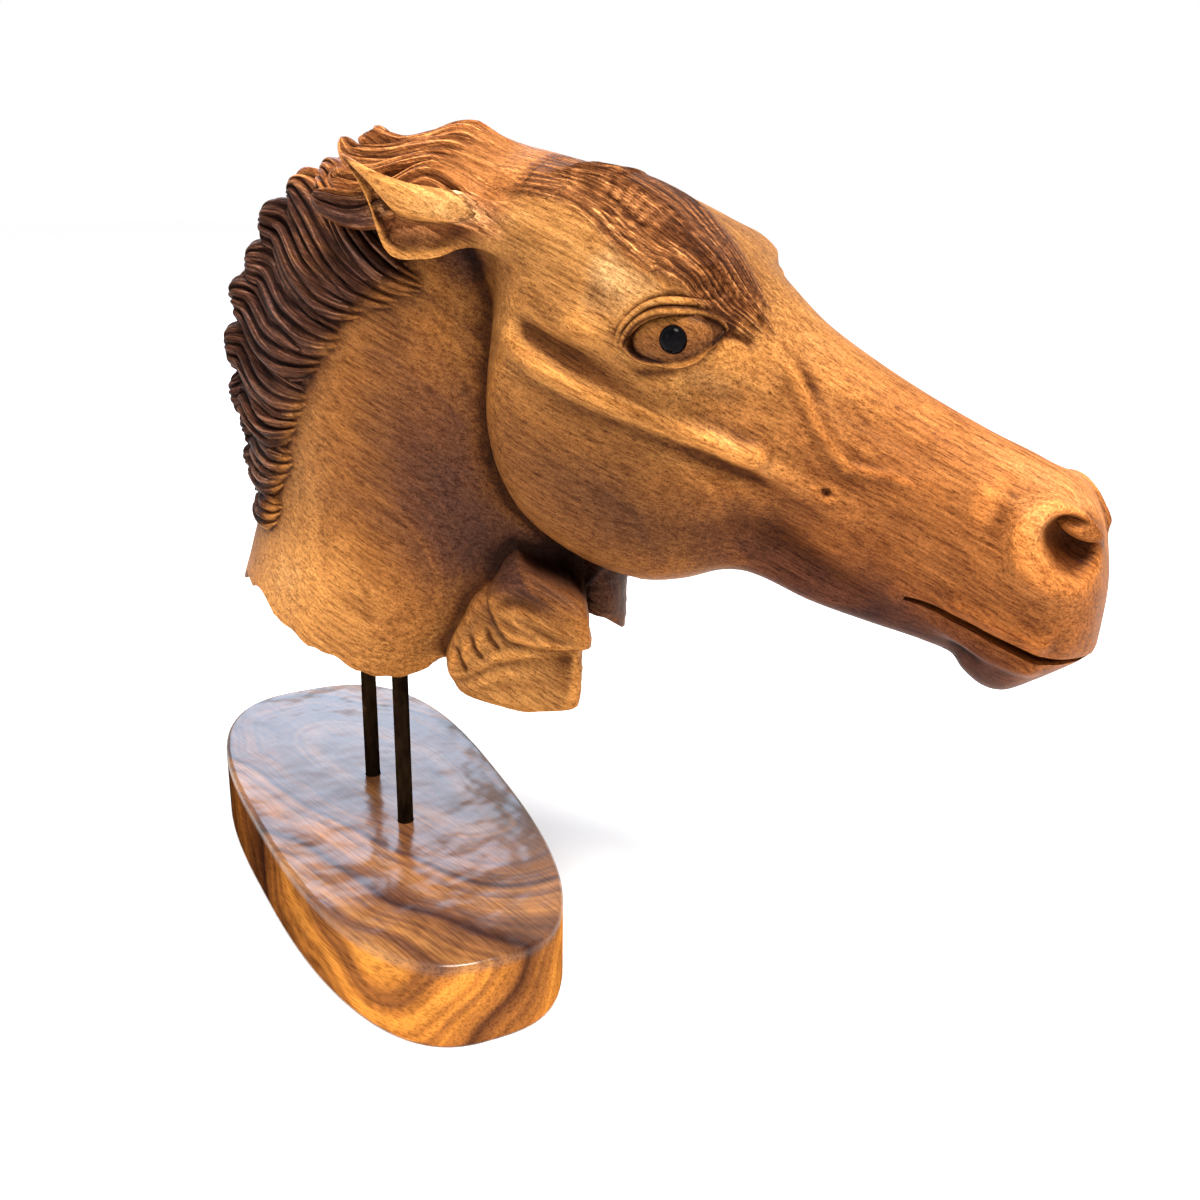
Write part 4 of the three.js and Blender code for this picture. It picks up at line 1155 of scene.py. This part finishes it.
def throat_front_side(place):
    x, _, z = (place - carving_foot).T
    return blend_in(x, 56, 6) * blend_in(z, 104, -8) * (x < 150) * 0.8


def poll_top(place):
    along, out, height = head_places(place)
    share = blend_in(along, -26, 10) * blend_in(along, 22, -10)
    return share * (height > nose_line(along) - 16) * (np.abs(out) < 40)


def forelock_edge(place):
    along, out, height = head_places(place)
    lie, _, _ = forelock_lie(along, out, height)
    on_brow = (np.abs(along - 92) < 48) * (height > nose_line(along) - 30)
    return on_brow * blend_in(lie, 0.62, 0.1) * (lie < 1.4)


relax(horse, forelock_edge, 5)
relax(horse, poll_top, 30)
relax(horse, ear_roots, 40)
relax(horse, muzzle_ends, 12)
relax(horse, throat_front_side, 6)
low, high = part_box("horse_head")
inset = 1e-5
for vertex in horse.data.vertices:
    vertex.co = [min(max(value, least + inset), most - inset)
                 for value, least, most in zip(vertex.co, low, high)]
bpy.ops.object.shade_smooth_by_angle(angle=math.radians(48))


# How the wood's tone changes over the carving, with light and shade painted into it: dark in the mane, golden
# on the lower neck, painted light on the temples, ears, nose and crest, painted shade and shadow at the
# throat, under the jaw, on the chin and in the ear pits, eyes and nostrils, each hollow painted dark as shade
# and each ridge painted light as a highlight. The hair also keeps its lie.
def color_places(solid):
    mesh = solid.data
    count = len(mesh.vertices)
    place = mesh_numbers(mesh.vertices, "co", 3) * 1000
    normal = mesh_numbers(mesh.vertices, "normal", 3)
    first, second = mesh_numbers(mesh.edges, "vertices", 2, int).T
    degree = neighbour_counts(first, second, count)

    def smooth(values, times):
        for _ in range(times):
            values = 0.5 * values + 0.5 * neighbour_totals(values, first, second) / degree
        return values

    def patch(x, y, at, reach):
        return np.exp(-(((x - at[0]) / reach[0]) ** 2) - ((y - at[1]) / reach[1]) ** 2)

    def head_patch(at, reach):
        return patch(along, height, at, reach)

    def neck_patch(at, reach):
        return patch(x, z, at, reach)

    relief = -((smooth(place, 14) - place) * normal).sum(1)
    along, out, height = head_places(place)
    x, _, z = (place - carving_foot).T
    on_head = blend_in(along, 30, 12) * (height > jaw_line(along) - 6)
    root_line = np.interp(z, [90, 103, 113, 139, 156, 170, 188, 204, 212],
                          [-46, -42, -37, -25, -14, -4, 10, 30, 46])
    mane = np.clip((root_line + 3 - x) / 5, 0, 1) * (z > 84) * (z < 268) * (along < 24)
    tuft = np.clip((z - (244 - 0.012 * out ** 2)) / 6, 0, 1) * blend_in(x, 103, -8) * (np.abs(out) < 46)
    lie_across, forelock, _ = forelock_lie(along, out, height)
    forelock = forelock * (height > nose_line(along) - 26) * (tuft < 0.5)
    ear_tree = KDTree(len(ear_places))
    for i, spot in enumerate(ear_places):
        ear_tree.insert(spot, i)
    ear_tree.balance()
    near_ear = (np.abs(out) > 34) * (along < 34) * (along > -66) * (height > -52) * (height < 4)
    ear_part, ear_hollow = np.zeros(count), np.zeros(count)
    for i in np.nonzero(near_ear)[0]:
        _, nearest, distance = ear_tree.find(place[i])
        ear_part[i] = distance < 0.9
        ear_hollow[i] = ear_part[i] * ear_dips[nearest]
    mane = mane * (1 - tuft) * (1 - ear_part)
    hair_part = np.clip(mane + tuft + forelock, 0, 1)

    light = 0.34 + 0 * x
    # Painted light: a pool of light over the temples, and each ear painted lighter on its face, with painted
    # shade in its hollow.
    light += 0.42 * head_patch((52, -4), (46, 24)) * (x > -20)
    light += 0.20 * ear_part - 0.34 * ear_hollow
    light += 0.18 * neck_patch((-20, 60), (40, 26)) + 0.06 * neck_patch((0, 60), (50, 36))
    light -= 0.10 * neck_patch((-64, 84), (26, 30)) * (1 - on_head)
    # Painted light along the bridge of the nose, over the muzzle, along the crest and under the eye.
    light += 0.20 * head_patch((190, 8), (90, 14)) + 0.22 * head_patch((262, 0), (26, 20))
    light += 0.12 * head_patch((70, -48), (60, 8))
    light += 0.30 * head_patch((146, -37), (26, 4.5)) + 0.20 * head_patch((128, -22), (20, 9))
    # Painted shade on the chin, the lower cheek and the jaw, and a painted shadow of the head over the throat
    # and upper neck.
    light -= 0.34 * head_patch((262, -76), (60, 18)) + 0.20 * head_patch((190, -84), (50, 22))
    light -= 0.24 * neck_patch((76, 100), (26, 44)) * (1 - on_head)
    light -= 0.18 * neck_patch((40, 140), (34, 56)) * (1 - on_head)
    light -= 0.13 * head_patch((92, -100), (60, 30))
    # Painted shade in the pit under each ear's root, and under the jaw.
    light -= 0.40 * head_patch((1, -38), (12, 8)) * (1 - ear_part) * (np.abs(out) < 46)
    under_jaw = np.clip((jaw_line(along) + 5 - height) / 6, 0, 1)
    light -= 0.34 * head_patch((84, -126), (40, 17)) * under_jaw
    light -= 0.32 * head_patch((122, -152), (24, 26)) * under_jaw * blend_in(out, -26, 6)
    light += 0.18 * neck_patch((96, 40), (40, 30)) * (1 - on_head)
    # Painted shadow of the jaw over the top of the throat.
    light -= 0.3 * blend_in(z, 70, 12) * neck_patch((112, 86), (30, 22)) * (1 - on_head)
    light = np.minimum(light, 0.8) * (1 - 0.90 * mane) + 0.05 * mane - 0.17 * forelock + 0.06 * tuft
    # The painted light is toned down where the ears join the head.
    light *= 1 - 0.3 * ear_roots(place)
    red = blend_in(along, 120, 80) * (height > -90)
    red = np.maximum(red, 0.9 * tuft + 0.6 * forelock)
    # Painted shade in the hollows and painted highlights on the ridges, by how far each point lies below or
    # above its smoothed neighbours; softened over the poll and the ear roots.
    painted_hollow_shade_and_highlight = np.clip(0.5 + relief / 1.5, 0, 1)
    painted_hollow_shade_and_highlight = 0.5 + (painted_hollow_shade_and_highlight - 0.5) * (1 - 0.85 * np.maximum(poll_top(place), ear_roots(place)))
    # On the forelock, painted shade in the flats between the strands and painted highlights on their crests.
    painted_hollow_shade_and_highlight = painted_hollow_shade_and_highlight * (1 - forelock) + forelock * (0.27 + 0.75 * forelock_crest(along, lie_across) ** 2)
    hair_part = hair_part * (1 - 0.7 * poll_top(place))
    # Painted shade along the lid creases round each eye, and the shade of the lids painted over the eyeball.
    for eye in eyes:
        centre, along_eye, up_eye, _ = eye
        away = place - centre
        near = np.nonzero((away ** 2).sum(1) < 30 ** 2)[0]
        flat = np.stack([away[near] @ along_eye, away[near] @ up_eye], -1)
        for grow, low, high, strength in ((-0.3, 0, 2, 1.0), (2.6, 0.02, 1.02, 0.9), (6.4, 0.08, 0.98, 0.6)):
            edge = np.stack(lid_edge(np.linspace(low, high, 160) * math.pi, grow), -1)
            gap = np.sqrt(((flat[:, None] - edge[None]) ** 2).sum(2).min(1))
            line = strength * np.exp(-((gap / 0.75) ** 2))
            light[near] -= 0.42 * line
            painted_hollow_shade_and_highlight[near] = painted_hollow_shade_and_highlight[near] * (1 - line) + 0.08 * line
        inside = np.abs(flat[:, 1]) < 8 * np.sqrt(np.clip(1 - (flat[:, 0] / 18) ** 2, 0, 1))
        light[near] -= 0.26 * inside
    # Painted shade inside each nostril.
    for side in (-1, 1):
        centre, ahead, upward, outward = nostril_frame(side)
        away = place - centre
        inside = (away @ ahead / 14) ** 2 + (away @ upward / 11) ** 2 < 1
        hollow = inside * np.clip((-3 - away @ outward) / 4, 0, 1)
        light -= 0.22 * hollow * (away @ outward > -24)
    wood_tone_and_painted_light = np.stack([np.clip(light, 0, 1), red, painted_hollow_shade_and_highlight, hair_part], -1)
    wood_tone_and_painted_light[:, :2] = smooth(wood_tone_and_painted_light[:, :2], 5)
    attribute = mesh.color_attributes.new("wood_tone_and_painted_light", "FLOAT_COLOR", "POINT")
    attribute.data.foreach_set("color", wood_tone_and_painted_light.ravel())

    known, lies = np.concatenate(strand_places), np.concatenate(strand_lies)
    tree = KDTree(len(known))
    for i, spot in enumerate(known):
        tree.insert(spot, i)
    tree.balance()
    lie = np.stack([lie_across * 34, along, 0 * along], -1)
    for i in np.nonzero((mane > 0) | (tuft > 0))[0]:
        lie[i] = lies[tree.find(place[i])[1]]
    attribute = mesh.attributes.new("lie", "FLOAT_VECTOR", "POINT")
    attribute.data.foreach_set("vector", lie.ravel())


color_places(horse)


def carved_wood():
    material, net, shader = new_material("oiled_carved_wood")
    wood_tone_and_painted_light = net.nodes.new("ShaderNodeAttribute")
    wood_tone_and_painted_light.attribute_name = "wood_tone_and_painted_light"
    parts = net.nodes.new("ShaderNodeSeparateColor")
    net.links.new(wood_tone_and_painted_light.outputs["Color"], parts.inputs[0])
    light, red, painted_hollow_shade_and_highlight, hair_part = parts.outputs[0], parts.outputs[1], parts.outputs[2], wood_tone_and_painted_light.outputs["Alpha"]
    turn = (0, math.radians(22), math.radians(-3))
    where = grain_place(net, turn, (1, 1, 1))
    split = net.nodes.new("ShaderNodeSeparateXYZ")
    net.links.new(where, split.inputs[0])
    warp = noise(net, grain_place(net, turn, (3, 9, 9)), 1.6, 3, 0.5)
    squares = added(net, sums(net, "POWER", added(net, split.outputs[1], 0.13), 2.0),
                   sums(net, "POWER", added(net, split.outputs[2], -0.20), 2.0))
    radius = sums(net, "SQRT", squares)
    field = added(net, radius, scaled(net, warp, 0.05))
    bands = ring_bands(net, field, 150, 0.55)
    fibre = noise(net, grain_place(net, turn, (40, 700, 700)), 1, 4, 0.6)
    pores = noise(net, grain_place(net, turn, (230, 2300, 2300)), 1, 2, 0.5)
    patch = noise(net, where, 16, 4, 0.55)
    # The wood's tone with its painted light and shade, the rings and the patches pick the brown.
    tone_and_painted_light_level = added(net, scaled(net, light, 0.85),
                  added(net, scaled(net, bands, 0.16),
                       scaled(net, patch, 0.24)))
    brown = ramp(net, tone_and_painted_light_level, [
        (0.16, (0.027, 0.0125, 0.011)),
        (0.30, (0.070, 0.027, 0.013)),
        (0.46, (0.172, 0.067, 0.018)),
        (0.66, (0.36, 0.162, 0.046)),
        (0.90, (0.54, 0.315, 0.135)),
    ])
    reddish = mix(net, "MULTIPLY", 1.0, brown, (1.06, 0.88, 0.84))
    color = mix(net, "MIX", red, brown, reddish)
    streak = ramp(net, fibre, [
        (0.34, (0.52, 0.44, 0.38)), (0.5, (0.98, 0.96, 0.94)), (0.66, (1.32, 1.34, 1.34))])
    color = mix(net, "MULTIPLY", 0.9, color, streak)
    pore = ramp(net, pores, [(0.34, (0.30, 0.22, 0.18)), (0.45, (1, 1, 1))])
    color = mix(net, "MULTIPLY", 0.8, color, pore)
    speck = ramp(net, noise(net, where, 1100, 2, 0.7), [
        (0.36, (0.70, 0.66, 0.62)), (0.5, (1, 1, 1)), (0.66, (1.35, 1.38, 1.36))])
    color = mix(net, "MULTIPLY", 0.7, color, speck)
    lie = net.nodes.new("ShaderNodeAttribute")
    lie.attribute_name = "lie"
    stretched = net.nodes.new("ShaderNodeMapping")
    stretched.inputs["Scale"].default_value = (0.62, 0.022, 1)
    net.links.new(lie.outputs["Vector"], stretched.inputs["Vector"])
    strands = noise(net, stretched.outputs["Vector"], 1.15, 4, 0.68, 0.15)
    # Painted shade between the fine strands of the hair and a cool painted highlight along them.
    painted_strand_shade_and_highlight = ramp(net, strands, [
        (0.36, (0.26, 0.21, 0.22)), (0.49, (0.70, 0.68, 0.78)), (0.56, (1.25, 1.34, 1.65)),
        (0.62, (2.3, 2.8, 3.8))])
    color = mix(net, "MULTIPLY", hair_part, color, painted_strand_shade_and_highlight)
    # Painted shade darkens the hollows and painted highlights lighten the ridges.
    shade_and_highlight_ramp = ramp(net, painted_hollow_shade_and_highlight, [
        (0.10, (0.22, 0.15, 0.12)), (0.40, (0.84, 0.79, 0.75)), (0.5, (1, 1, 1)),
        (0.62, (1.2, 1.18, 1.12)), (0.85, (1.45, 1.4, 1.25))])
    color = mix(net, "MULTIPLY", 0.9, color, shade_and_highlight_ramp)
    net.links.new(color, shader.inputs["Base Color"])
    net.links.new(spread(net, fibre, 0.3, 0.7, 0.38, 0.52), shader.inputs["Roughness"])
    shader.inputs["Specular IOR Level"].default_value = 0.04
    grain = added(net, scaled(net, fibre, 0.25), scaled(net, pores, 0.35))
    combed = scaled(net, scaled(net, strands, hair_part), 3.2)
    rough_skin(net, shader, added(net, grain, combed), 0.0008, 0.8)
    return material


horse.data.materials.clear()
horse.data.materials.append(carved_wood())
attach(horse, "root")
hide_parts("horse_head")


# Each pupil is a polished black bead let into the carved eyeball. It is round, a little flatter than
# it is wide, and far smoother than the wood about it.
def black_bead():
    material, net, shader = new_material("black_bead")
    where = grain_place(net, (0, 0, 0), (1, 1, 1))
    color = ramp(net, noise(net, where, 300), [(0.4, (0.001, 0.001, 0.0015)), (0.7, (0.004, 0.003, 0.004))])
    net.links.new(color, shader.inputs["Base Color"])
    shader.inputs["Roughness"].default_value = 0.08
    shader.inputs["Specular IOR Level"].default_value = 0.04
    return material


bead_material = black_bead()
for eye, node in zip(eyes, ("right_eye_bead", "left_eye_bead")):
    bpy.ops.object.select_all(action="DESELECT")
    bpy.ops.mesh.primitive_uv_sphere_add(segments=48, ring_count=24, radius=1)
    pupil = bpy.context.object
    pupil.name = node + "_glass"
    bead_frame = np.eye(4)
    bead_frame[:3, :3] = np.stack([way * half / 1000 for way, half in zip(eye[1:], bead_half)], -1)
    bead_frame[:3, 3] = eye_point(eye, *bead_at) / 1000
    pupil.matrix_world = Matrix(bead_frame.tolist())
    bpy.ops.object.transform_apply(location=True, rotation=True, scale=True)
    turn_faces_out()
    bpy.ops.object.shade_smooth()
    pupil.data.materials.append(bead_material)
    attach(pupil, "root")
    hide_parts(node)


# A plain pale floor and soft studio light.
bpy.ops.object.select_all(action="DESELECT")
bpy.ops.mesh.primitive_plane_add(size=12, location=(0, 0, 0))
floor = bpy.context.object
floor.name = "floor"
material, _, shader = new_material("pale_floor")
shader.inputs["Base Color"].default_value = (0.98, 0.98, 0.98, 1)
shader.inputs["Roughness"].default_value = 0.9
floor.data.materials.append(material)


def soft_light(name, place, aim, size, power, color=(1, 1, 1)):
    lamp = bpy.data.lights.new(name, "AREA")
    lamp.shape, lamp.size, lamp.energy, lamp.color = "DISK", size, power, color
    light = bpy.data.objects.new(name, lamp)
    bpy.context.scene.collection.objects.link(light)
    direction = Vector(aim) - Vector(place)
    light.matrix_world = Matrix.Translation(place) @ direction.to_track_quat("-Z", "Y").to_matrix().to_4x4()


soft_light("key", (0.60, -0.50, 1.95), (0.08, 0, 0.28), 0.9, 68, (1, 0.95, 0.88))
soft_light("window", (-1.75, 2.1, 1.35), (-0.08, 0.06, 0.04), 1.5, 30, (0.55, 0.74, 1))
soft_light("fill", (-0.9, -1.5, 0.8), (0, 0, 0.18), 0.9, 3, (1, 0.95, 0.88))
world = bpy.data.worlds.new("world")
bpy.context.scene.world = world
world.use_nodes = True
world.node_tree.nodes["Background"].inputs["Color"].default_value = (1, 1, 1, 1)
world.node_tree.nodes["Background"].inputs["Strength"].default_value = 1.0
bpy.context.scene.view_settings.view_transform = "Standard"
